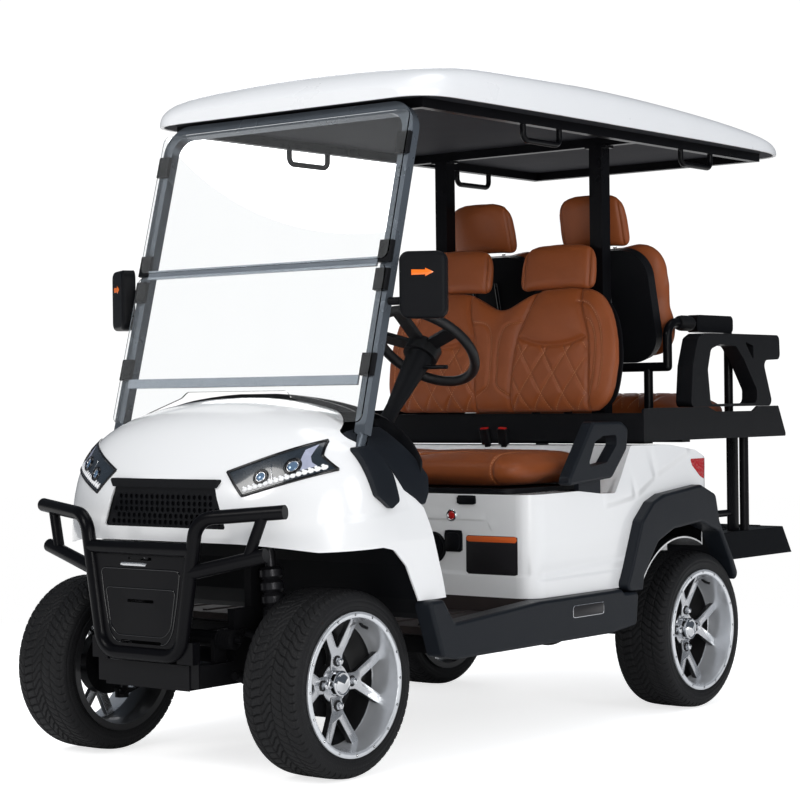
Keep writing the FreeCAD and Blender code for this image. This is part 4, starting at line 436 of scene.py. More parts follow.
# The finish of each material slot
FINISHES = {
    "black_steel": black_steel, "spring_steel": spring_steel, "coated_tube": black_tube,
    "battery_case": battery_black, "body_white": body_white, "roof_white": roof_white,
    "liner_grey": liner_grey, "lamp_clear": lens_clear, "lamp_red": red_lens, "black_plastic": black_plastic,
    "floor_mat": mat_rubber, "screen_frame_paint": screen_paint, "clear_sheet": clear_sheet,
    "brown_leather": brown, "chrome_trim": chrome, "wheel_grip": grip, "tyre": rubber_black, "rim": machined,
}
for part in frame["record"]["subparts"]:
    node = cad[part["node"]]
    node.data.materials.clear()
    node.data.materials.append(FINISHES[part["material_slot"]])
for name in ("rear_flares", "rockers", "post_covers", "knee_pads", "hip_handles"):
    cad[name].data.materials[0] = flare_plastic
cad["windshield_rails"].data.materials[0] = rail_clear


def inner_faces(name, dark, arches):
    """Gives the inner skin of a hollow body a dark finish: faces whose outward ray meets the body again, and the
    faces round the wheel arches."""
    obj = cad[name]
    mesh = obj.data
    tree = BVHTree.FromObject(obj, bpy.context.evaluated_depsgraph_get())
    index = []
    for face in mesh.polygons:
        hit = tree.ray_cast(face.center + face.normal * 0.002, face.normal, 1.3)[0]
        near = any(math.hypot(face.center.y - y, face.center.z - z) < reach for y, z, reach in arches)
        index.append(1 if hit is not None or (near and abs(face.normal.x) < 0.5) else 0)
    mesh.materials.append(dark)
    mesh.polygons.foreach_set("material_index", index)


def small_islands(name, dark, reach):
    """Gives the short loose solids of a node a dark finish: corners at one place count as one, each takes the
    lowest number among its neighbours until nothing changes, and solids smaller than the reach every way are picked."""
    mesh = cad[name].data
    place = read(mesh.vertices, "co")
    same = np.unique(np.round(place, 5), axis=0, return_inverse=True)[1].ravel()
    edges = same[read(mesh.edges, "vertices", int, 2)]
    label = np.arange(same.max() + 1)
    for _ in range(600):
        last = label.copy()
        low = np.minimum(label[edges[:, 0]], label[edges[:, 1]])
        np.minimum.at(label, edges[:, 0], low)
        np.minimum.at(label, edges[:, 1], low)
        if np.array_equal(label, last):
            break
    label = label[same]
    small = {k for k in np.unique(label) if np.ptp(place[label == k], axis=0).max() < reach}
    mesh.materials.append(dark)
    mesh.polygons.foreach_set("material_index", [1 if label[f.vertices[0]] in small else 0 for f in mesh.polygons])


inner_faces("rear_body", black_plastic, [(0.5335, 0.25, 0.345)])
small_islands("windshield_rails", black_plastic, 0.14)


# Wheels

def tyre_rubber():
    """Rubber whose bump adds thin sipes beside the wavy grooves, read from the tyre's own UV map: the depth is the
    lower of two saw waves, each cut off a little above its lines."""
    mat = material("tyre_rubber", (0.0100, 0.0100, 0.0110), 0.56, specular=0.26, vary=0.25, vary_scale=12.0,
                   rough_vary=0.1, grain=0.3, grain_scale=900.0)
    tree = mat.node_tree
    split = shader(tree, "SeparateXYZ", {"Vector": shader(tree, "UVMap", out="UV")}).node.outputs
    cuts = []
    for value, width in ((split["X"], 0.06), (split["Y"], 0.08)):
        wave = shader(tree, "Math", {0: value, 1: 0.5}, operation="PINGPONG")
        cuts.append(shader(tree, "MapRange", {"From Max": width, "Value": wave}))
    both = shader(tree, "Math", dict(enumerate(cuts)), operation="MINIMUM")
    return tuned(mat, Normal=shader(tree, "Bump", {"Strength": 0.8, "Distance": 0.0012, "Height": both,
                                                   "Normal": tree.nodes["Bump"].outputs["Normal"]}))


tyre_mat = tyre_rubber()


def tyre(name, side, x, y):
    """A tyre section turned about the axle. Its radius drops in wavy grooves that cross the tread, in two
    rings round it, and in shallow rings on the walls; s runs across the section and t round the wheel."""
    key = np.array([(-0.84, 0.0), (-0.90, 0.10), (-0.955, 0.22), (-1.0, 0.50), (-0.95, 0.80), (-0.80, 0.955),
                    (-0.45, 1.0), (0.0, 1.006), (0.45, 1.0), (0.80, 0.955), (0.95, 0.80), (1.0, 0.50),
                    (0.955, 0.22), (0.90, 0.10), (0.84, 0.0)])
    section = np.stack([key[:, 0] * TYRE_HALF, BEAD_RADIUS + key[:, 1] * (TYRE_RADIUS - BEAD_RADIUS - 0.0002)], -1)
    section = smooth_path(np.pad(section, ((0, 0), (0, 1))), 0.003)[:, :2]
    arc = np.concatenate([[0], np.cumsum(np.linalg.norm(np.diff(section, axis=0), axis=1))])
    s = np.linspace(0, arc[-1], TREAD_ACROSS)
    a = np.interp(s, arc, section[:, 0])
    r = np.interp(s, arc, section[:, 1])
    turns, blocks = TREAD_STEPS, TREAD_BLOCKS
    t = np.linspace(0, 2 * np.pi, turns, endpoint=False)
    A, T = np.meshgrid(a, t, indexing="ij")
    R = np.repeat(r[:, None], turns, 1)
    wave = 0.62 * np.sin(A / TYRE_HALF * np.pi * 1.55 + 0.6) + 0.16 * np.sin(A / TYRE_HALF * np.pi * 4.0)
    phase = (T * blocks / (2 * np.pi) + wave * 1.25) % 1.0
    near = np.minimum(phase, 1 - phase) * 2 * np.pi * TYRE_RADIUS / blocks
    groove = np.exp(-(near / 0.0021) ** 4)
    reach = np.clip((0.091 - np.abs(A)) / 0.004, 0, 1) * np.clip((R - 0.222) / 0.006, 0, 1)
    drop = 0.0052 * groove * reach
    for place in (-0.052, -0.018, 0.018, 0.052):
        drop = np.maximum(drop, 0.0045 * np.exp(-((A - place) / 0.0019) ** 4) * reach)
    wall = np.abs(A) > 0.070
    for ring in (0.186, 0.194, 0.209):
        drop = drop + wall * 0.0007 * np.exp(-((R - ring) / 0.0010) ** 2)
    edge = np.clip((R - 0.205) / 0.012, 0, 1) * wall
    drop = drop + 0.0010 * edge * (np.sin(T * blocks * 2) > 0.55) * (R < 0.226)
    R = R - drop
    points = np.stack([x * side + A, y + R * np.cos(T), TYRE_RADIUS + R * np.sin(T)], -1)
    faces = grid_faces(len(s), turns, wrap_columns=True)
    inner = [(a[0], BEAD_RADIUS), (a[0] * 0.4, BEAD_RADIUS + 0.012), (a[-1] * 0.4, BEAD_RADIUS + 0.012),
             (a[-1], BEAD_RADIUS)]
    ring = turned([(p + side * x, q) for p, q in inner], (0, y, TYRE_RADIUS), (1, 0, 0), 100)
    mesh = bpy.data.meshes.new(name)
    mesh.from_pydata(points.reshape(-1, 3).tolist(), [], faces.tolist())
    uv = mesh.uv_layers.new(name="tread")
    u = T * blocks * 3 / (2 * np.pi) + wave * 3.75
    v = A / 0.0085
    loops = np.stack([u.reshape(-1)[faces.reshape(-1)], v.reshape(-1)[faces.reshape(-1)]], -1)
    last = (faces.reshape(-1) % turns == 0) & np.repeat(faces[:, 0] % turns == turns - 1, 4)
    loops[:, 0] += last * blocks * 3
    uv.data.foreach_set("uv", loops.astype(np.float32).reshape(-1))
    mesh.materials.append(tyre_mat)
    mesh.shade_smooth()
    obj = bpy.data.objects.new(name, mesh)
    scene.collection.objects.link(obj)
    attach(obj, "wheel_" + name.replace("tread_", ""))
    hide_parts(name.replace("tread", "tyre"))
    return obj


# One split spoke: (out from the axle, across)
SPOKE = [(0.036, -0.0225), (0.0740, -0.0225), (0.1555, -0.0705), (0.1700, -0.0490), (0.0960, -0.0042),
         (0.0960, 0.0042), (0.1700, 0.0490), (0.1555, 0.0705), (0.0740, 0.0225), (0.036, 0.0225)]


def dished(x, side, y, turn=0.0):
    """Places (u, v, w) of a spoke: turned about the axle, set back in the dish, deeper towards the hub."""
    c, s = math.cos(turn), math.sin(turn)

    def place(u, v, w):
        radius = np.hypot(u, v)
        back = 0.054 + 0.014 * np.clip((0.165 - radius) / 0.11, 0, 1)
        return np.stack([side * (x + RIM_HALF - back + w), y + c * u - s * v, TYRE_RADIUS + s * u + c * v], -1)
    return place


def wheel(name, side, x, y):
    """A two-piece alloy wheel: a polished deep dish with a riveted lip, four split spokes, cap and nuts. A flat dark
    disc round each rivet tip stands for its hole, and one round each nut stands for its recess: painted shade.
    """
    body, axis, h = "wheel_" + name, (side, 0, 0), RIM_HALF
    centre = (side * x, y, TYRE_RADIUS)

    def around(radius, share):
        t = share * 2 * math.pi
        return (side * x, y + radius * math.cos(t), TYRE_RADIUS + radius * math.sin(t))

    lip = [(h - 0.0095, 0.1786), (h - 0.0085, FLANGE_RADIUS - 0.001), (h - 0.006, FLANGE_RADIUS),
           (h - 0.0015, FLANGE_RADIUS), (h, FLANGE_RADIUS - 0.0015), (h - 0.0004, 0.1785), (h - 0.0016, 0.1772),
           (h - 0.0040, 0.1766), (h - 0.010, 0.1758), (h - 0.030, 0.1735), (h - 0.052, 0.1712), (h - 0.080, 0.1690),
           (h - 0.084, 0.1665)]
    inner = [(h - 0.084, 0.1665), (0.0, 0.1625), (-h + 0.030, 0.1640), (-h + 0.008, 0.1726), (-h, 0.1740),
             (-h, FLANGE_RADIUS), (-h + 0.008, FLANGE_RADIUS), (-h + 0.0095, 0.1782), (-0.05, 0.1775), (0.05, 0.1775),
             (h - 0.0095, 0.1786)]
    hub = [(h - 0.098, 0.0), (h - 0.098, 0.052), (h - 0.0735, 0.0525), (h - 0.0715, 0.0505), (h - 0.0712, 0.036),
           (h - 0.0712, 0.0)]
    cap = [(h - 0.0715, 0.0345), (h - 0.052, 0.0345), (h - 0.0480, 0.0330), (h - 0.0462, 0.0290), (h - 0.0470, 0.0262),
           (h - 0.0470, 0.0255), (h - 0.0450, 0.0240), (h - 0.0405, 0.0)]
    nut = [(h - 0.0712, 0.0110), (h - 0.0550, 0.0106), (h - 0.0510, 0.0086), (h - 0.0495, 0.0)]
    # The next two profiles are flat dark discs, painted shade of the recess round each nut and of the hole round each
    # rivet tip
    nut_well_shade = [(h - 0.0640, 0.0150), (h - 0.0640, 0.0)]
    rivet_hole_shade = [(h - 0.002, 0.0034), (h + 0.0003, 0.0033), (h + 0.0006, 0.0027), (h + 0.0006, 0.0)]
    tip = [(h + 0.0006, 0.0017), (h + 0.0013, 0.0014), (h + 0.0013, 0.0)]

    dish = made("dish_" + name, [turned(lip, centre, axis, 128)], polished, body, angle=50)
    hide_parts("rim_" + name)
    made("barrel_" + name, [turned(inner, centre, axis, 96)], wheel_black, body, angle=50)
    outline = dense(rounded(SPOKE, 0.004, 4), 0.0035)
    star = [plate(outline, -0.020, 0.0, 0.0022, dished(x, side, y, k * math.pi / 2)) for k in range(4)]
    obj = made("star_" + name, star + [turned(hub, centre, axis, 64)], machined, body, angle=30)
    obj.data.materials.append(wheel_black)
    flat = np.abs(read(obj.data.polygons, "normal")[:, 0])
    obj.data.polygons.foreach_set("material_index", (flat < 0.30).astype(np.int32))
    bright, dark = [turned(cap, centre, axis, 48)], []
    for k in range(4):
        bright.append(turned(nut, around(NUT_CIRCLE, k / 4), axis, 6))
        dark.append(turned(nut_well_shade, around(NUT_CIRCLE, k / 4), axis, 20))
    for k in range(16):
        dark.append(turned(rivet_hole_shade, around(RIVET_CIRCLE, k / 16), axis, 12))
        bright.append(turned(tip, around(RIVET_CIRCLE, k / 16), axis, 6))
    made("nuts_" + name, bright, chrome, body, weld=0, angle=30)
    t = math.radians(63)
    out = np.array([0.0, math.cos(t), math.sin(t)])
    foot = np.array(centre) + out * 0.1715 + np.array([side * (h - 0.050), 0, 0])
    end = foot - out * 0.012 + np.array([side * 0.030, 0, 0])
    dark.append(swept([foot, foot * 0.6 + end * 0.4 - out * 0.003, end], round_section(0.0042, 12), up=(0.3, 1, 0.2)))
    # Dark pieces: discs of painted shade at the nut recesses and rivet holes, and the real dark rubber valve stem
    made("shade_discs_and_valve_" + name, dark, rubber_black, body, weld=0, angle=30)


polished = material("polished_dish", (0.84, 0.86, 0.89), 0.22, metal=0.66, vary=0.10, vary_scale=16.0,
                    rough_vary=0.08)
wheel_black = material("wheel_black", (0.012, 0.012, 0.013), 0.32, vary=0.2, coat=0.3)
for name, (side, x, y) in WHEELS.items():
    tyre("tread_" + name, side, x, y)
    wheel(name, side, x, y)


# Soft pieces

def pillow(outline, depth_low, depth_high, power=3.2, rings=40, centre=None):
    """A closed form over an outline: rings run from a centre to the outline, and the two faces close on it
    along a superellipse, height = depth * (1 - ring ** power) ** (1 / power)."""
    p = np.array(outline, float)
    c = np.array(centre if centre is not None else p.mean(0))
    rho = np.sin(np.linspace(0, np.pi / 2, rings))[1:]
    u = c + rho[:, None, None] * (p - c)
    h = (1 - rho ** power) ** (1 / power)
    n = len(p)
    top = np.concatenate([[[c[0], c[1], depth_high]],
                          np.concatenate([u, np.repeat((depth_high * h)[:, None, None], n, 1)], -1).reshape(-1, 3)])
    low = top.copy()
    low[:, 2] *= -depth_low / depth_high
    faces = [[0, 1 + k, 1 + (k + 1) % n] for k in range(n)]
    faces += [list(f) for f in grid_faces(len(rho), n, wrap_columns=True) + 1]
    return [(top, faces), (low, [f[::-1] for f in faces])]


def stuffed(name, parts, place, voxel, cap, limits, pressure=4.0):
    """A padded form: remeshed, blown up by a cloth simulation with pressure, its movement capped, kept inside
    limits and smoothed. place turns its (u, v, w) points into the row frame first."""
    points, faces = joined(parts)
    points = place(points[:, 0], points[:, 1], points[:, 2])
    obj = made(name, [(points, faces)], brown, smooth=False)
    bpy.context.view_layer.objects.active = obj
    mod = obj.modifiers.new("even", "REMESH")
    mod.mode = "VOXEL"
    mod.voxel_size = voxel
    mod.use_smooth_shade = True
    bpy.ops.object.modifier_apply(modifier=mod.name)
    start = end = read(obj.data.vertices, "co")
    mod = obj.modifiers.new("fill", "CLOTH")
    cloth = mod.settings
    cloth.use_pressure = True
    cloth.uniform_pressure_force = pressure
    cloth.effector_weights.gravity = 0.0
    cloth.tension_stiffness = 12.0
    cloth.compression_stiffness = 12.0
    cloth.bending_stiffness = 1.5
    cloth.quality = 4
    mod.point_cache.frame_start = 1
    mod.point_cache.frame_end = 20
    for f in range(1, 21):
        scene.frame_set(f)
    shown = obj.evaluated_get(bpy.context.evaluated_depsgraph_get())
    end = read(shown.data.vertices, "co")
    obj.modifiers.remove(mod)
    scene.frame_set(1)
    move = end - start
    size = np.linalg.norm(move, axis=1)
    end = start + move * np.minimum(1.0, cap / np.maximum(size, 1e-9))[:, None]
    edges = read(obj.data.edges, "vertices", int, 2)
    degree = np.bincount(edges.reshape(-1), minlength=len(start))[:, None]
    for _ in range(8):
        total = np.zeros_like(end)
        np.add.at(total, edges[:, 0], end[edges[:, 1]])
        np.add.at(total, edges[:, 1], end[edges[:, 0]])
        end = 0.4 * end + 0.6 * total / degree
    first, last = start.min(0), start.max(0)
    a, b = end.min(0), end.max(0)
    end = (end - (a + b) / 2) * (last - first) / (b - a) + (first + last) / 2
    put(obj, np.clip(end, np.array(limits[0]), np.array(limits[1])))
    mod = obj.modifiers.new("finer", "SUBSURF")
    mod.levels = mod.render_levels = 1
    bpy.ops.object.modifier_apply(modifier=mod.name)
    obj.data.shade_smooth()
    return obj


def distance_to(points, line):
    """Shortest distance from each 2-D point to a polyline, a segment at a time for all points at once."""
    best = np.full(len(points), 1e9)
    for a, b in zip(line[:-1], line[1:]):
        way = b - a
        t = np.clip(((points - a) @ way) / max(way @ way, 1e-12), 0, 1)
        best = np.minimum(best, np.linalg.norm(points - a - t[:, None] * way, axis=1))
    return best


def sewn(obj, lines, across, facing, depth, width, puff=0.0):
    """Seams pressed into one face of a padded piece: each point sinks along the face by
    depth * exp(-(distance / width) ** 2), for its distance to the nearest seam seen square to the face, and the
    hide between the seams swells by puff * (1 - exp(-(distance / 0.03) ** 2))."""
    p, n = read(obj.data.vertices, "co"), read(obj.data.vertex_normals, "vector")
    facing = np.array(facing, float)
    seen = np.clip((n @ facing - 0.05) / 0.3, 0, 1)
    flat = p[:, across]
    near = np.full(len(p), 1e9)
    for line in lines:
        lo, hi = line.min(0) - 0.06, line.max(0) + 0.06
        pick = np.all((flat > lo) & (flat < hi), axis=1)
        if pick.any():
            near[pick] = np.minimum(near[pick], distance_to(flat[pick], line))
    swell = puff * (1 - np.exp(-(near / 0.030) ** 2))
    p -= facing * (seen * (depth * np.exp(-(near / width) ** 2) - swell))[:, None]
    put(obj, p)


def stitches(name, obj, lines, across, facing, body, side=0.0, length=0.0052, gap=0.0030, radius=0.0007):
    """Short threads laid end to end along lines on a face, each a small six-sided bar half sunk in the hide."""
    tree = BVHTree.FromObject(obj, bpy.context.evaluated_depsgraph_get())
    facing = Vector(facing)
    mid, ways = [], []
    for line in lines:
        arc = np.concatenate([[0], np.cumsum(np.linalg.norm(np.diff(line, axis=0), axis=1))])
        at = np.arange(length / 2, arc[-1] - length / 2, length + gap)
        here = np.stack([np.interp(at, arc, line[:, k]) for k in (0, 1)], -1)
        ahead = np.stack([np.interp(at + 0.002, arc, line[:, k]) for k in (0, 1)], -1)
        way = ahead - here
        way /= np.linalg.norm(way, axis=1)[:, None] + 1e-12
        here = here + side * np.stack([-way[:, 1], way[:, 0]], -1)
        for q, w in zip(here, way):
            spots = []
            for e in (-length / 2, length / 2):
                o = np.zeros(3)
                o[list(across)] = q + w * e
                hit = tree.ray_cast(Vector(o) + facing * 3.0, -facing)[0]
                if hit is None:
                    break
                spots.append(np.array(hit))
            if len(spots) == 2 and np.linalg.norm(spots[1] - spots[0]) < length * 2.5:
                mid.append((spots[0] + spots[1]) / 2)
                ways.append(spots[1] - spots[0])
    if not mid:
        return None
    mid, ways = np.array(mid), np.array(ways)
    long = ways / np.linalg.norm(ways, axis=1)[:, None]
    up = np.broadcast_to(np.array(facing), long.shape)
    out = np.cross(long, up)
    out /= np.linalg.norm(out, axis=1)[:, None]
    t = np.linspace(0, 2 * np.pi, 6, endpoint=False)
    ring = radius * (np.cos(t)[None, :, None] * out[:, None] + np.sin(t)[None, :, None] * up[:, None])
    half = (ways / 2)[:, None]
    rows = [mid[:, None] - half + ring * 0.5, mid[:, None] - half * 0.6 + ring,
            mid[:, None] + half * 0.6 + ring, mid[:, None] + half + ring * 0.5]
    points = np.stack(rows, 1)
    one = np.array([list(f) for f in grid_faces(4, 6, wrap_columns=True)])
    faces = (one[None] + (np.arange(len(mid)) * 24)[:, None, None]).reshape(-1, 4).tolist()
    base = (np.arange(len(mid)) * 24)[:, None]
    faces += (base + np.arange(6)).tolist() + (base + 18 + np.arange(6)).tolist()
    return made(name, [(points.reshape(-1, 3), faces)], thread, body, weld=0)


def line2(*points, step=0.006):
    """A smooth curve through (u, v) points."""
    return smooth_path(np.pad(np.array(points, float), ((0, 0), (0, 1))), step)[:, :2]


def clipped_diamonds(inside, box, pitch, slope):
    """Two families of straight lines, each cut to the runs whose points pass the inside test."""
    (u0, v0), (u1, v1) = box
    out = []
    reach = (v1 - v0) / slope
    for way in (-1, 1):
        start = u0 - reach
        while start < u1 + reach:
            s = np.linspace(0, 1, 160)
            u = start + way * (s * (v1 - v0)) / slope + (0 if way > 0 else reach)
            pts = np.stack([u, v0 + s * (v1 - v0)], -1)
            ok = inside(pts)
            edges = np.flatnonzero(np.diff(np.concatenate([[0], ok.astype(int), [0]])))
            for a, b in zip(edges[::2], edges[1::2]):
                if b - a > 6:
                    out.append(pts[a:b:4] if b - a > 12 else pts[a:b])
            start += pitch
    return out


def lean(obj, pivot, angle):
    """Tips a finished piece about a line along X through the pivot."""
    put(obj, rotated_x(read(obj.data.vertices, "co"), pivot, angle))


def soft(obj, body, node):
    """A padded piece that rides a body and stands for a CAD piece."""
    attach(obj, body)
    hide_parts(node)
    return obj


def seat_bench():
    """Front bench cushion: one crowned form with a dip between the two places and a rolled front edge."""
    low, high = np.array(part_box("front_cushion"))
    z0, tall = low[2], high[2] - low[2]
    outline = dense(rounded_box(low[0] + 0.012, high[0] - 0.012, low[1] + 0.010, high[1] - 0.008, 0.075))

    def place(u, v, w):
        dip = 1 - 0.30 * np.exp(-(u / 0.055) ** 2) * np.clip((v - low[1]) / 0.35, 0, 1)
        dip = dip * (1 - 0.07 * np.clip((np.abs(u) - 0.34) / 0.12, 0, 1) ** 2)
        back = 1 - 0.10 * np.clip((v - low[1] - 0.25) / 0.2, 0, 1)
        return np.stack([u, v, z0 + 0.50 * tall + np.where(w > 0, w * dip * back, w)], -1)

    limits = (low + [0, 0, 0.0003], high + [0, 0, 0.004])
    obj = stuffed("seat_bench", pillow(outline, 0.50 * tall, 0.47 * tall, 4.2), place, 0.0085, 0.022, limits)
    top, front = [], []
    for s in (-1, 1):
        top.append(line2((s * 0.075, low[1] - 0.01), (s * 0.078, -0.15), (s * 0.100, 0.00), (s * 0.120, 0.10)))
        front.append(line2((s * 0.075, z0 - 0.01), (s * 0.075, z0 + tall)))
        top.append(line2((s * 0.405, low[1] - 0.01), (s * 0.408, -0.26), (s * 0.385, -0.14), (s * 0.37, 0.10)))
        front.append(line2((s * 0.405, z0 - 0.01), (s * 0.405, z0 + tall)))
        top.append(line2((s * 0.095, -0.285), (s * 0.24, -0.262), (s * 0.385, -0.285)))
    sewn(obj, top, (0, 1), (0, 0, 1), 0.0070, 0.0056)
    sewn(obj, front, (0, 2), (0, -1, 0), 0.0060, 0.0056)
    stitches("bench_stitches", obj, top, (0, 1), (0, 0, 1), "front_seat_lid", side=0.006)
    stitches("bench_front_stitches", obj, front, (0, 2), (0, -1, 0), "front_seat_lid", side=0.006)
    return soft(obj, "front_seat_lid", "front_cushion")


# The right half of the front backrest, in shares of its half width and height
BACK_HALF = [(0.0, 0.853), (0.070, 0.868), (0.140, 0.905), (0.300, 0.985), (0.470, 1.000), (0.640, 0.997),
             (0.820, 0.945), (0.940, 0.770), (1.000, 0.500), (1.000, 0.280), (0.970, 0.120), (0.89, 0.030),
             (0.78, 0.004)]


def back_outline(half, z0, tall, shrink):
    """The front backrest's outline: the named half and its mirror image as one smooth ring, moved inwards."""
    right = np.array(BACK_HALF) * [half, tall] + [0, z0]
    left = right[:0:-1] * [-1, 1]
    ring = np.concatenate([right, [[0.0, z0]], left])
    ring = smooth_path(np.pad(ring, ((0, 0), (0, 1))), 0.012, closed=True)[:, :2]
    return inset(dense(ring), shrink)


def front_back():
    """Front backrest: a two-lobed pad with a plain upper panel and a quilted lower panel at each place,
    long seams down to the bottom and a rolled bolster at each side. It is made upright, then leaned."""
    half, z0, tall = 0.458, 0.942, 0.406
    y_back, depth = 0.3432, 0.084
    outline = back_outline(half, z0, tall, 0.001)
    middle = y_back - depth * 0.46

    def place(u, v, w):
        lobe = np.abs(np.abs(u) - FRONT_PLACE)
        roll = np.clip((lobe - 0.09) / 0.05, 0, 1) * np.clip((0.42 - np.abs(u)) / 0.06, 0, 1)
        wave = 1 - 0.20 * np.clip(1 - np.abs(u) / 0.06, 0, 1) + 0.10 * roll
        return np.stack([u, middle - np.where(w > 0, w * wave, w), v], -1)

    limits = ((-half, y_back - depth - 0.010, z0 - 0.002), (half, y_back - 0.007, z0 + tall + 0.002))
    obj = stuffed("front_back_pad", pillow(outline, 0.036, 0.044, 3.4, centre=(0, z0 + tall * 0.45)), place,
                  0.0085, 0.009, limits)
    deep, light = [], []
    for s in (-1, 1):
        c = s * FRONT_PLACE
        for k in (-1, 1):
            deep.append(line2((c + k * 0.081, z0 + tall * 1.01), (c + k * 0.104, z0 + tall * 0.80),
                              (c + k * 0.133, z0 + tall * 0.60), (c + k * 0.146, z0 + tall * 0.35),
                              (c + k * 0.150, z0 + 0.004)))
            far = 0.165 if k == s else 0.206
            light.append(line2((c + k * 0.124, z0 + tall * 0.73), (c + k * (far - 0.020), z0 + tall * 0.69),
                               (c + k * far, z0 + tall * 0.54), (c + k * far, z0 + tall * 0.32),
                               (c + k * (far - 0.006), z0 + tall * 0.20), (c + k * 0.154, z0 + tall * 0.12)))
        deep.append(line2((c - 0.132, z0 + tall * 0.600), (c - 0.07, z0 + tall * 0.548),
                          (c, z0 + tall * 0.530), (c + 0.07, z0 + tall * 0.548), (c + 0.132, z0 + tall * 0.600)))
        edge = back_outline(half, z0, tall, 0.048)
        light.append(edge[(edge[:, 0] * s > 0.30) & (edge[:, 1] > z0 + 0.07)])
    light = [run for run in light if len(run) > 3]
    for run in light[:]:
        jump = np.linalg.norm(np.diff(run, axis=0), axis=1)
        if jump.max() > 0.05:
            k = int(jump.argmax()) + 1
            light.remove(run)
            light.append(np.concatenate([run[k:], run[:k]]))

    def lower(c):
        def inside(p):
            t = np.clip((p[:, 1] - z0) / tall, 0, 1)
            wide = np.interp(t, [0, 0.35, 0.60], [0.146, 0.142, 0.129])
            smile = 0.530 + 0.070 * ((p[:, 0] - c) / 0.132) ** 2
            return (np.abs(p[:, 0] - c) < wide) & (t < smile - 0.015) & (t > 0.015)
        return inside

    quilt = []
    for s in (-1, 1):
        c = s * FRONT_PLACE
        quilt += clipped_diamonds(lower(c), ((c - 0.155, z0), (c + 0.155, z0 + 0.245)), 0.084, 1.55)
    sewn(obj, deep, (0, 2), (0, -1, 0), 0.0090, 0.0064, 0.0050)
    sewn(obj, light, (0, 2), (0, -1, 0), 0.0045, 0.0048)
    sewn(obj, quilt, (0, 2), (0, -1, 0), 0.0036, 0.0052)
    threads = [stitches("back_seam_stitches", obj, light, (0, 2), (0, -1, 0), None, side=0.0045),
               stitches("back_quilt_stitches", obj, quilt, (0, 2), (0, -1, 0), None)]
    for item in [obj] + threads:
        lean(item, FRONT_PIVOT, FRONT_TILT)
    for item in threads:
        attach(item, "chassis")
    trim = plate(back_outline(half, z0, tall, 0.008), 0.0, 0.0085, 0.003, in_xz(y_back, -1))
    made("front_back_board", [(rotated_x(trim[0], FRONT_PIVOT, FRONT_TILT), trim[1])], black_plastic, "chassis")
    return soft(obj, "chassis", "front_backrest")


def head_pad(name, side, x, half, z0, tall, y0, depth, pivot, angle, facing):
    """A headrest: a small pillow with a rounder top and two side seams."""
    c = side * x
    shape = np.array([(1.0, 0.10), (1.0, 0.42), (0.97, 0.68), (0.86, 0.89), (0.55, 0.985), (0.0, 1.0)])
    shape = np.concatenate([[(0.0, 0.0), (0.90, 0.0)], shape, (shape * [-1, 1])[-2::-1], [(-0.90, 0.0)]])
    outline = rounded(shape * [half, tall] + [c, z0], 0.020, 6)
    outline = inset(dense(outline, 0.008), 0.001)
    middle = y0 + depth / 2
    way = facing[1]
    obj = stuffed(name, pillow(outline, depth * 0.42, depth * 0.44, 2.9, 26),
                  lambda u, v, w: np.stack([u, middle + way * w, v], -1), 0.006, 0.004,
                  ((c - half, y0 - 0.004, z0), (c + half, y0 + depth + 0.004, z0 + tall)))
    seams = [line2((c + k * half * 0.86, z0 - 0.01), (c + k * half * 0.87, z0 + tall * 0.5),
                   (c + k * half * 0.80, z0 + tall + 0.01)) for k in (-1, 1)]
    sewn(obj, seams, (0, 2), facing, 0.0060, 0.0050)
    sewn(obj, seams, (0, 2), (0, -way, 0), 0.0030, 0.0036)
    lean(obj, pivot, angle)
    return obj


def head_pads():
    """Headrests of the front and rear seats."""
    for kind, rest in (("front", (0.205, 0.145, 1.342, 0.154, 0.2702, 0.062, FRONT_PIVOT, FRONT_TILT, (0, -1, 0))),
                       ("rear", (REAR_PLACE, 0.132, 1.506, 0.178, 0.5805, 0.066, REAR_PIVOT, REAR_TILT, (0, 1, 0)))):
        for s, word in ((1, "left"), (-1, "right")):
            soft(head_pad(kind + "_head_" + word, s, *rest), "chassis", kind + "_headrests")


def rear_backs():
    """Rear backrests: a padded face in each moulded shell, seamed and quilted as the front one."""
    for s, word in ((1, "left"), (-1, "right")):
        c, half, z0, tall = s * REAR_PLACE, 0.213, 1.122, 0.378
        outline = inset(dense(rounded_box(c - half, c + half, z0, z0 + tall, 0.115), 0.010), 0.001)
        y0, depth = 0.6138, 0.130
        obj = stuffed("rear_back_" + word, pillow(outline, 0.052, 0.066, 3.6, 34, (c, z0 + tall * 0.5)),
                      lambda u, v, w: np.stack([u, y0 + 0.056 + w, v], -1), 0.0080, 0.022,
                      ((c - half, y0 + 0.0003, z0), (c + half, y0 + depth + 0.008, z0 + tall)))
        deep = [line2((c + k * 0.104, z0 + tall), (c + k * 0.112, z0 + tall * 0.7),
                      (c + k * 0.126, z0 + tall * 0.3), (c + k * 0.128, z0)) for k in (-1, 1)]
        deep.append(line2((c - 0.116, z0 + tall * 0.60), (c, z0 + tall * 0.545), (c + 0.116, z0 + tall * 0.60)))

        def inside(p):
            t = (p[:, 1] - z0) / tall
            return (np.abs(p[:, 0] - c) < 0.116) & (t < 0.53) & (t > 0.04)

        quilt = clipped_diamonds(inside, ((c - 0.12, z0), (c + 0.12, z0 + 0.21)), 0.062, 1.75)
        sewn(obj, deep, (0, 2), (0, 1, 0), 0.0080, 0.0060)
        sewn(obj, quilt, (0, 2), (0, 1, 0), 0.0026, 0.0040)
        lines = stitches("rear_back_stitches_" + word, obj, quilt, (0, 2), (0, 1, 0), None)
        for item in (obj, lines):
            lean(item, REAR_PIVOT, REAR_TILT)
        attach(lines, "chassis")
        soft(obj, "chassis", "rear_backrests")


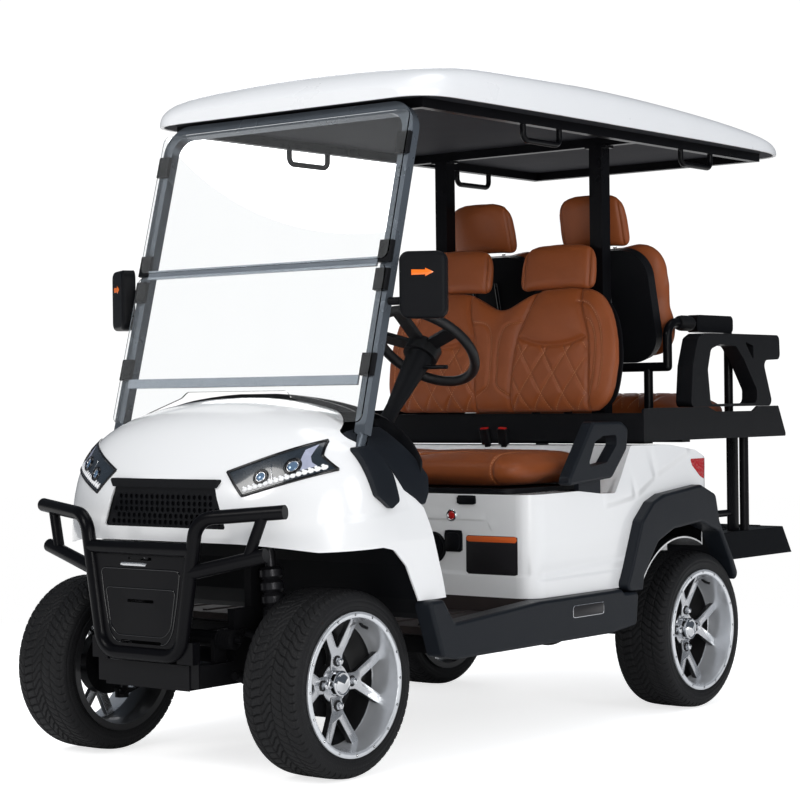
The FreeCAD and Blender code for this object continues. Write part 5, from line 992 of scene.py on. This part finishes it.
def rear_bench():
    """Rear cushion: one crowned pad whose middle field is quilted."""
    low, high = np.array(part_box("rear_cushion"))
    z0, tall = low[2], high[2] - low[2]
    outline = dense(rounded_box(low[0] + 0.010, high[0] - 0.010, low[1] + 0.010, high[1] - 0.010, 0.080))

    def place(u, v, w):
        dip = 1 - 0.20 * np.exp(-(u / 0.05) ** 2)
        return np.stack([u, v, z0 + 0.46 * tall + np.where(w > 0, w * dip, w)], -1)

    obj = stuffed("rear_bench", pillow(outline, 0.46 * tall, 0.50 * tall, 3.8), place, 0.0085, 0.022,
                  (low + [0, 0, 0.0003], high + [0, 0, 0.003]))
    top = []
    for s in (-1, 1):
        top.append(line2((s * 0.09, low[1] - 0.01), (s * 0.09, high[1] + 0.01)))
        top.append(line2((s * 0.335, low[1] - 0.01), (s * 0.335, high[1] + 0.01)))
        top.append(line2((s * 0.09, high[1] - 0.10), (s * 0.335, high[1] - 0.10)))

    def inside(p):
        return (np.abs(np.abs(p[:, 0]) - 0.2125) < 0.115) & (p[:, 1] < high[1] - 0.108) & (p[:, 1] > low[1] + 0.02)

    quilt = clipped_diamonds(inside, ((low[0], low[1]), (high[0], high[1])), 0.066, 1.6)
    sewn(obj, top, (0, 1), (0, 0, 1), 0.0046, 0.0046)
    sewn(obj, quilt, (0, 1), (0, 0, 1), 0.0028, 0.0044)
    stitches("rear_bench_stitches", obj, quilt, (0, 1), (0, 0, 1), "chassis")
    return soft(obj, "chassis", "rear_cushion")


seat_bench()
front_back()
head_pads()
rear_backs()
rear_bench()


# Fittings

AXES = {"x": (1, 2, 0), "y": (0, 2, 1), "z": (0, 1, 2)}


def seated(names, facing):
    """Places (u, v, w) of a piece on the outer skin of CAD pieces seen along a signed axis such as "-y"; w is its
    height above the skin, found with one ray a point."""
    sign = -1 if facing[0] == "-" else 1
    i, j, k = AXES[facing[-1]]
    trees = [BVHTree.FromObject(cad[n], bpy.context.evaluated_depsgraph_get()) for n in names]

    def place(u, v, w):
        out = np.zeros((len(u), 3))
        out[:, i], out[:, j], out[:, k] = u, v, sign * 5.0
        ray = Vector([0.0, 0.0, 0.0])
        ray[k] = -sign
        for q in out:
            hits = [t.ray_cast(Vector(q), ray)[0] for t in trees]
            q[k] = sign * max([sign * h[k] for h in hits if h is not None], default=0.0)
        out[:, k] += sign * w
        return out
    return place


def ribbon(place, points, radius, step=0.004, closed=False, up=(0, -1, 0)):
    """A thin bead laid along points (u, v) on a skin."""
    line = np.array(points, float)
    if closed:
        line = np.concatenate([line, line[:1]])
    arc = np.concatenate([[0], np.cumsum(np.linalg.norm(np.diff(line, axis=0), axis=1))])
    at = np.linspace(0, arc[-1], max(3, int(arc[-1] / step)))
    flat = np.stack([np.interp(at, arc, line[:, k]) for k in (0, 1)], -1)
    path = place(flat[:, 0], flat[:, 1], np.zeros(len(flat)))
    return swept(path, round_section(radius, 8), up=up)


def patch(place, outline, lift, steps=7):
    """A thin skin-hugging sheet over a convex outline: rings from its middle to its edge."""
    p = dense(np.array(outline, float), 0.003)
    c = p.mean(0)
    rho = np.linspace(0, 1, steps)[1:]
    flat = (c + rho[:, None, None] * (p - c)).reshape(-1, 2)
    points = place(np.append(flat[:, 0], c[0]), np.append(flat[:, 1], c[1]), np.full(len(flat) + 1, lift))
    faces = [list(f) for f in grid_faces(len(rho), len(p), wrap_columns=True)]
    faces += [[len(flat), k, (k + 1) % len(p)] for k in range(len(p))]
    return points, faces


def dome(place, u, v, radius, height, rings=8, count=28, lift=0.0):
    """A low round cap on a skin: height * cos(ring) over radius * sin(ring)."""
    t = np.linspace(0, 2 * np.pi, count, endpoint=False)
    a = np.linspace(0, np.pi / 2, rings)[1:]
    U = (u + radius * np.sin(a)[:, None] * np.cos(t)).reshape(-1)
    V = (v + radius * np.sin(a)[:, None] * np.sin(t)).reshape(-1)
    W = np.repeat(lift + height * np.cos(a), count)
    points = place(np.append(U, u), np.append(V, v), np.append(W, lift + height))
    faces = [list(f) for f in grid_faces(len(a), count, wrap_columns=True)]
    faces += [[len(U), k, (k + 1) % count] for k in range(count)]
    return points, faces


def ring(place, u, v, radius, thick, lift=0.0, count=40):
    """A round bead laid in a circle on a skin."""
    t = np.linspace(0, 2 * np.pi, count, endpoint=False)
    path = place(u + radius * np.cos(t), v + radius * np.sin(t), np.full(count, lift))
    return swept(path, round_section(thick, 8), closed=True, up=(0.0, -1.0, 0.0))


lamp_bowl = material("lamp_bowl", (0.020, 0.028, 0.038), 0.25, vary=0.35, vary_scale=30.0, coat=0.9)
lamp_pale = material("lamp_reflector", (0.50, 0.53, 0.68), 0.22, metal=0.3, vary=0.25, vary_scale=60.0, coat=0.6)
bead = material("lamp_beads", (0.92, 0.93, 0.95), 0.12, vary=0.10, vary_scale=90.0, coat=0.8)
projector = material("projector_lens", (0.16, 0.26, 0.40), 0.06, metal=0.40, vary=0.2, vary_scale=50.0, coat=1.0)
gloss_black = material("gloss_black", (0.003, 0.003, 0.004), 0.12, coat=0.3)
amber = material("amber_lens", (0.95, 0.18, 0.008), 0.25, coat=0.5)
red_button = material("red_button", (0.50, 0.012, 0.012), 0.3, coat=0.3)
plate_dark = material("blank_plate_dark", (0.016, 0.015, 0.017), 0.4, specular=0.4)
plate_orange = material("blank_plate_orange", (0.72, 0.13, 0.025), 0.4)
mirror_glass = material("mirror_glass", (0.85, 0.87, 0.90), 0.03, metal=1.0, vary=0.01, rough_vary=0.0)
# The lamp's outline seen from the front, (x, z)
LAMP = [(0.2106, 0.8113), (0.2750, 0.7469), (0.4902, 0.8163), (0.4452, 0.8540), (0.4332, 0.8951)]


def headlamps():
    """Each lamp: a dark glossy bowl in a black frame, a pale reflector, two projector lenses in bright rings, a
    divider and a row of beads along its lower edge."""
    cad["headlights"].data.materials[0] = lamp_bowl
    base = seated(["headlights", "front_cowl"], "-y")
    for s, word in SIDES:
        def place(u, v, w):
            return base(s * u, v, w)

        def lamp_part(name, parts, finish, angle=60):
            made("lamp_" + name + "_" + word, parts, finish, "chassis", weld=0, angle=angle)

        pale = patch(place, [(0.402, 0.869), (0.4235, 0.883), (0.4215, 0.851), (0.4300, 0.836), (0.446, 0.826),
                             (0.402, 0.813)], 0.0012)
        made("lamp_reflector_" + word, [pale], lamp_pale, "chassis", angle=60)
        edge = inset(dense(np.array(LAMP), 0.004), 0.0012)
        bright = [ribbon(place, [(0.330, 0.834), (0.3455, 0.792)], 0.0016)]
        dark, lenses, beads = [ribbon(place, edge, 0.0042, closed=True)], [], []
        for u, v, r in ((0.3139, 0.7990, 0.0105), (0.3883, 0.8262, 0.0120)):
            bright.append(ring(place, u, v, r + 0.0012, 0.0014, 0.0015))
            dark.append(ring(place, u, v, r + 0.0062, 0.0042, 0.0005))
            lenses.append(dome(place, u, v, r, 0.0050))
        for a in np.linspace(0, 1, 15):
            u, v = 0.2800 + a * 0.180, 0.7650 + a * 0.0575
            beads.append(dome(place, u, v, 0.0070, 0.0055, 5, 8))
            beads.append(dome(place, u - 0.0055, v + 0.0060, 0.0035, 0.0030, 4, 6))
        lamp_part("trim", bright, chrome)
        lamp_part("shade", dark, gloss_black)
        lamp_part("lenses", lenses, projector)
        lamp_part("beads", beads, bead, 25)


def mirrors():
    """Each mirror: glass on its rear face and an amber side lamp on its front face."""
    for s, word in SIDES:
        c = np.array([s * 0.578, -0.8705, 1.309])
        ahead = np.array([s * 0.5, -0.8660, 0.0])
        across = np.array([0.8660, s * 0.5, 0.0])

        def on(depth):
            return lambda u, v, w: (c + u[:, None] * across + (depth + w)[:, None] * ahead
                                    + v[:, None] * np.array([0.0, 0.0, 1.0]))

        glass = plate(dense(rounded_box(-0.056, 0.056, -0.082, 0.082, 0.022)), -0.0010, 0.0, 0.0004, on(-0.0212))
        made("mirror_glass_" + word, [glass], mirror_glass, "chassis")
        arrow = [(-0.030, 0.0255), (0.008, 0.0265), (0.008, 0.0215), (0.031, 0.0330), (0.008, 0.0445), (0.008, 0.0395),
                 (-0.030, 0.0405)]
        lamp = plate(np.array(arrow), 0.0, 0.0016, 0.0006, on(0.0206))
        made("mirror_lamp_" + word, [lamp], amber, "chassis")


def box_fittings():
    """On the front of the seat box: a round button, a socket cover, a speaker, a blank plate and a latch; on each
    rocker a blank plate."""
    front = seated(["rear_body"], "-y")

    def slab(corners, corner, low, high, edge, place=in_xz(BOX_FRONT, -1)):
        return plate(dense(rounded_box(*corners, corner)), low, high, edge, place)

    made("button_ring", [ring(front, 0.271, 0.653, 0.0150, 0.0034, 0.001)], chrome, "chassis", angle=60)
    made("button_centre", [dome(front, 0.271, 0.653, 0.0125, 0.0040)], red_button, "chassis", angle=60)
    cover = slab((0.246, 0.311, 0.544, 0.609), 0.008, 0.0, 0.0055, 0.0016)
    inner = slab((0.254, 0.303, 0.549, 0.601), 0.012, 0.0, 0.0095, 0.0022)
    latch = slab((0.294, 0.362, 0.686, 0.7130), 0.004, 0.0, 0.0070, 0.0018)
    grille = [ring(front, 0.202, 0.555, 0.043, 0.0045, 0.0015), dome(front, 0.202, 0.555, 0.041, 0.003)]
    grille += [ring(front, 0.202, 0.555, 0.006 * k, 0.0011, 0.0046 - 0.0005 * k) for k in range(1, 7)]
    made("box_fittings", [cover, inner, latch] + grille, black_plastic, "chassis", weld=0, angle=40)
    label = slab((0.323, 0.510, 0.481, 0.595), 0.006, 0.0, 0.0009, 0.0003)
    made("box_plate", [label], plate_dark, "chassis")
    band = slab((0.3245, 0.5085, 0.5765, 0.5935), 0.004, 0.0009, 0.0013, 0.0002)
    made("box_plate_band", [band], plate_orange, "chassis")
    for s, word in SIDES:
        skin = in_yz(s * ROCKER_SIDE, s)
        rim = slab((-0.205, -0.040, 0.350, 0.387), 0.003, 0.0, 0.0016, 0.0005, skin)
        face = slab((-0.203, -0.042, 0.352, 0.385), 0.002, 0.0016, 0.0020, 0.0002, skin)
        made("rocker_plate_edge_" + word, [rim], machined, "chassis")
        made("rocker_plate_" + word, [face], plate_dark, "chassis")


def belt_buckles():
    """Two belt buckles on stalks between the places of the front seat, each with a red press button."""
    stalk, red = [], []
    for x, y, turn in ((0.082, 0.190, 0.20), (0.022, 0.190, -0.20)):
        way = np.array([math.sin(turn) * 0.3, -0.25, 1.0])
        way /= np.linalg.norm(way)

        def bar(stops, width, height, edge):
            path = [np.array([x, y, 0.800]) + way * stop for stop in stops]
            return swept(path, box_section(width, height, edge), up=(0, -1, 0.25))

        stalk.append(bar((0.0, 0.03, 0.06), 0.022, 0.010, 0.003))
        stalk.append(bar((0.055, 0.060, 0.105), 0.036, 0.020, 0.005))
        red.append(bar((0.101, 0.109), 0.028, 0.012, 0.003))
    made("belt_stalks", stalk, black_plastic, "chassis", weld=0)
    made("belt_buttons", red, red_button, "chassis", weld=0)


def shell_ridges():
    """Two upright ridges on the back of each rear seat shell."""
    place = seated(["rear_seat_shells"], "-y")
    lines = [[(s * REAR_PLACE + u, z) for z in np.linspace(1.150, 1.395, 20)]
             for s in (-1, 1) for u in (-0.048, 0.048)]
    made("shell_ridges", [ribbon(place, line, 0.0080) for line in lines], gloss_black, "chassis",
         weld=0, angle=60)


def guard_lines():
    """The pressed outline of the front guard's plate and a bare bright strip in its top slot."""
    place = seated(["brush_guard"], "-y")
    line = rounded([(-0.150, 0.552), (0.150, 0.552), (0.138, 0.470), (0.120, 0.385), (0.095, 0.352), (-0.095, 0.352),
                    (-0.120, 0.385), (-0.138, 0.470)], 0.020)
    second = rounded([(-0.132, 0.500), (0.132, 0.500), (0.114, 0.396), (0.088, 0.372), (-0.088, 0.372),
                      (-0.114, 0.396)], 0.016)
    made("guard_plate_lines", [ribbon(place, line, 0.0024, closed=True), ribbon(place, second, 0.0020, closed=True)],
         gloss_black, "chassis", weld=0, angle=60)
    strip = plate(dense(rounded_box(-0.074, 0.026, 0.5600, 0.5690, 0.002)), 0.0, 0.0015, 0.0005, place)
    made("guard_strip", [strip], machined, "chassis")


def arm_sleeves():
    """A padded sleeve on the straight of each tube beside the rear seat."""
    parts = []
    for s in (-1, 1):
        path = np.array([(s * 0.46, y, 1.241) for y in np.linspace(0.640, 0.725, 8)])
        radius = np.array([0.020, 0.0245, 0.026, 0.026, 0.026, 0.026, 0.0245, 0.020])
        parts.append(swept(path, radius[:, None, None] * round_section(1.0, 24)[None]))
    made("arm_sleeves", parts, rubber_black, "chassis", weld=0, angle=50)


headlamps()
guard_lines()
arm_sleeves()
mirrors()
box_fittings()
belt_buckles()
shell_ridges()


# Camera, light and stage

def camera_at(place, turn, focal):
    """The photograph's camera: yaw, pitch and roll in degrees and a focal length in pixels of 800."""
    yaw, pitch, roll = (math.radians(a) for a in turn)
    ahead = Vector((math.sin(yaw) * math.cos(pitch), math.cos(yaw) * math.cos(pitch), math.sin(pitch)))
    right = Vector((math.cos(yaw), -math.sin(yaw), 0.0))
    up = right.cross(ahead)
    r = right * math.cos(roll) + up * math.sin(roll)
    u = up * math.cos(roll) - right * math.sin(roll)
    camera = bpy.data.cameras.new("camera")
    camera.sensor_fit = "HORIZONTAL"
    camera.sensor_width = 36.0
    camera.lens = focal / 800.0 * 36.0
    camera.clip_end = 100.0
    eye = bpy.data.objects.new("camera", camera)
    scene.collection.objects.link(eye)
    eye.matrix_world = Matrix.Translation(place) @ Matrix((r, u, -ahead)).transposed().to_4x4()
    scene.camera = eye


def pale_floor(size=14.0, lift=0.72, start=1.9, end=3.6):
    """A flat floor: matte with a lift that only the camera sees, fading to plain white between two distances."""
    mesh = bpy.data.meshes.new("floor")
    mesh.from_pydata([(-size, -size, 0), (size, -size, 0), (size, size, 0), (-size, size, 0)], [], [(0, 1, 2, 3)])
    floor = bpy.data.objects.new("floor", mesh)
    scene.collection.objects.link(floor)
    pale = bpy.data.materials.new("pale_floor")
    pale.use_nodes = True
    tree = pale.node_tree
    tree.nodes.clear()
    matte = shader(tree, "BsdfDiffuse", {"Color": (0.80, 0.80, 0.80, 1.0)})
    seen = shader(tree, "LightPath", out="Is Camera Ray")
    glow = shader(tree, "Emission", {"Strength": shader(tree, "Math", {0: seen, 1: lift}, operation="MULTIPLY")})
    near = shader(tree, "AddShader", {0: matte, 1: glow})
    place = shader(tree, "TexCoord", out="Object")
    length = shader(tree, "VectorMath", {0: place}, "Value", operation="LENGTH")
    fade = shader(tree, "MapRange", {"From Min": start, "From Max": end, "Value": length},
                  interpolation_type="SMOOTHSTEP")
    mix = shader(tree, "MixShader", {"Fac": fade, 1: near, 2: shader(tree, "Emission")})
    tree.links.new(mix, tree.nodes.new("ShaderNodeOutputMaterial").inputs["Surface"])
    mesh.materials.append(pale)


def lamp(name, place, aim, size, power, color):
    """A round soft lamp at a place, turned to its aim."""
    data = bpy.data.lights.new(name, "AREA")
    data.shape = "DISK"
    data.size = size
    data.energy = power
    data.color = color
    obj = bpy.data.objects.new(name, data)
    scene.collection.objects.link(obj)
    obj.location = place
    obj.rotation_euler = (Vector(aim) - Vector(place)).to_track_quat("-Z", "Y").to_euler()


def studio():
    """A world that gives soft light, a dim sky in gloss, and plain white to the camera and through clear sheets."""
    world = bpy.data.worlds.new("studio")
    scene.world = world
    world.use_nodes = True
    tree = world.node_tree
    tree.nodes.clear()
    soft_light, dim, white = (shader(tree, "Background", {"Color": color + (1.0,), "Strength": strength})
                              for color, strength in (((0.90, 0.93, 0.98), 0.66), ((0.62, 0.72, 0.86), 0.12),
                                                      ((1.0, 1.0, 1.0), 1.05)))
    path = shader(tree, "LightPath").node.outputs
    seen = shader(tree, "Math", {0: path["Is Camera Ray"], 1: path["Is Transmission Ray"]}, operation="MAXIMUM")
    lit = shader(tree, "MixShader", {"Fac": path["Is Glossy Ray"], 1: soft_light, 2: dim})
    sky = shader(tree, "MixShader", {"Fac": seen, 1: lit, 2: white})
    tree.links.new(sky, tree.nodes.new("ShaderNodeOutputWorld").inputs["Surface"])


camera_at(EYE, EYE_TURN, FOCAL_PIXELS)
pale_floor()
lamp("key", (-0.6, -6.4, 4.6), (0, 0, 0.7), 2.6, 120.0, (1.0, 0.985, 0.96))
lamp("side", (6.6, -1.6, 3.2), (0, 0, 0.7), 3.0, 70.0, (0.97, 0.98, 1.0))
lamp("fill", (5.6, -4.9, 1.5), (0, 0, 0.6), 2.2, 95.0, (1.0, 0.99, 0.97))
lamp("top", (0.5, 0.5, 6.5), (0, 0, 0), 4.0, 70.0, (1.0, 1.0, 1.0))
lamp("back", (-4.5, 5.0, 3.5), (0, 0, 0.9), 3.0, 60.0, (1.0, 1.0, 1.0))
studio()
scene.view_settings.view_transform = "Standard"
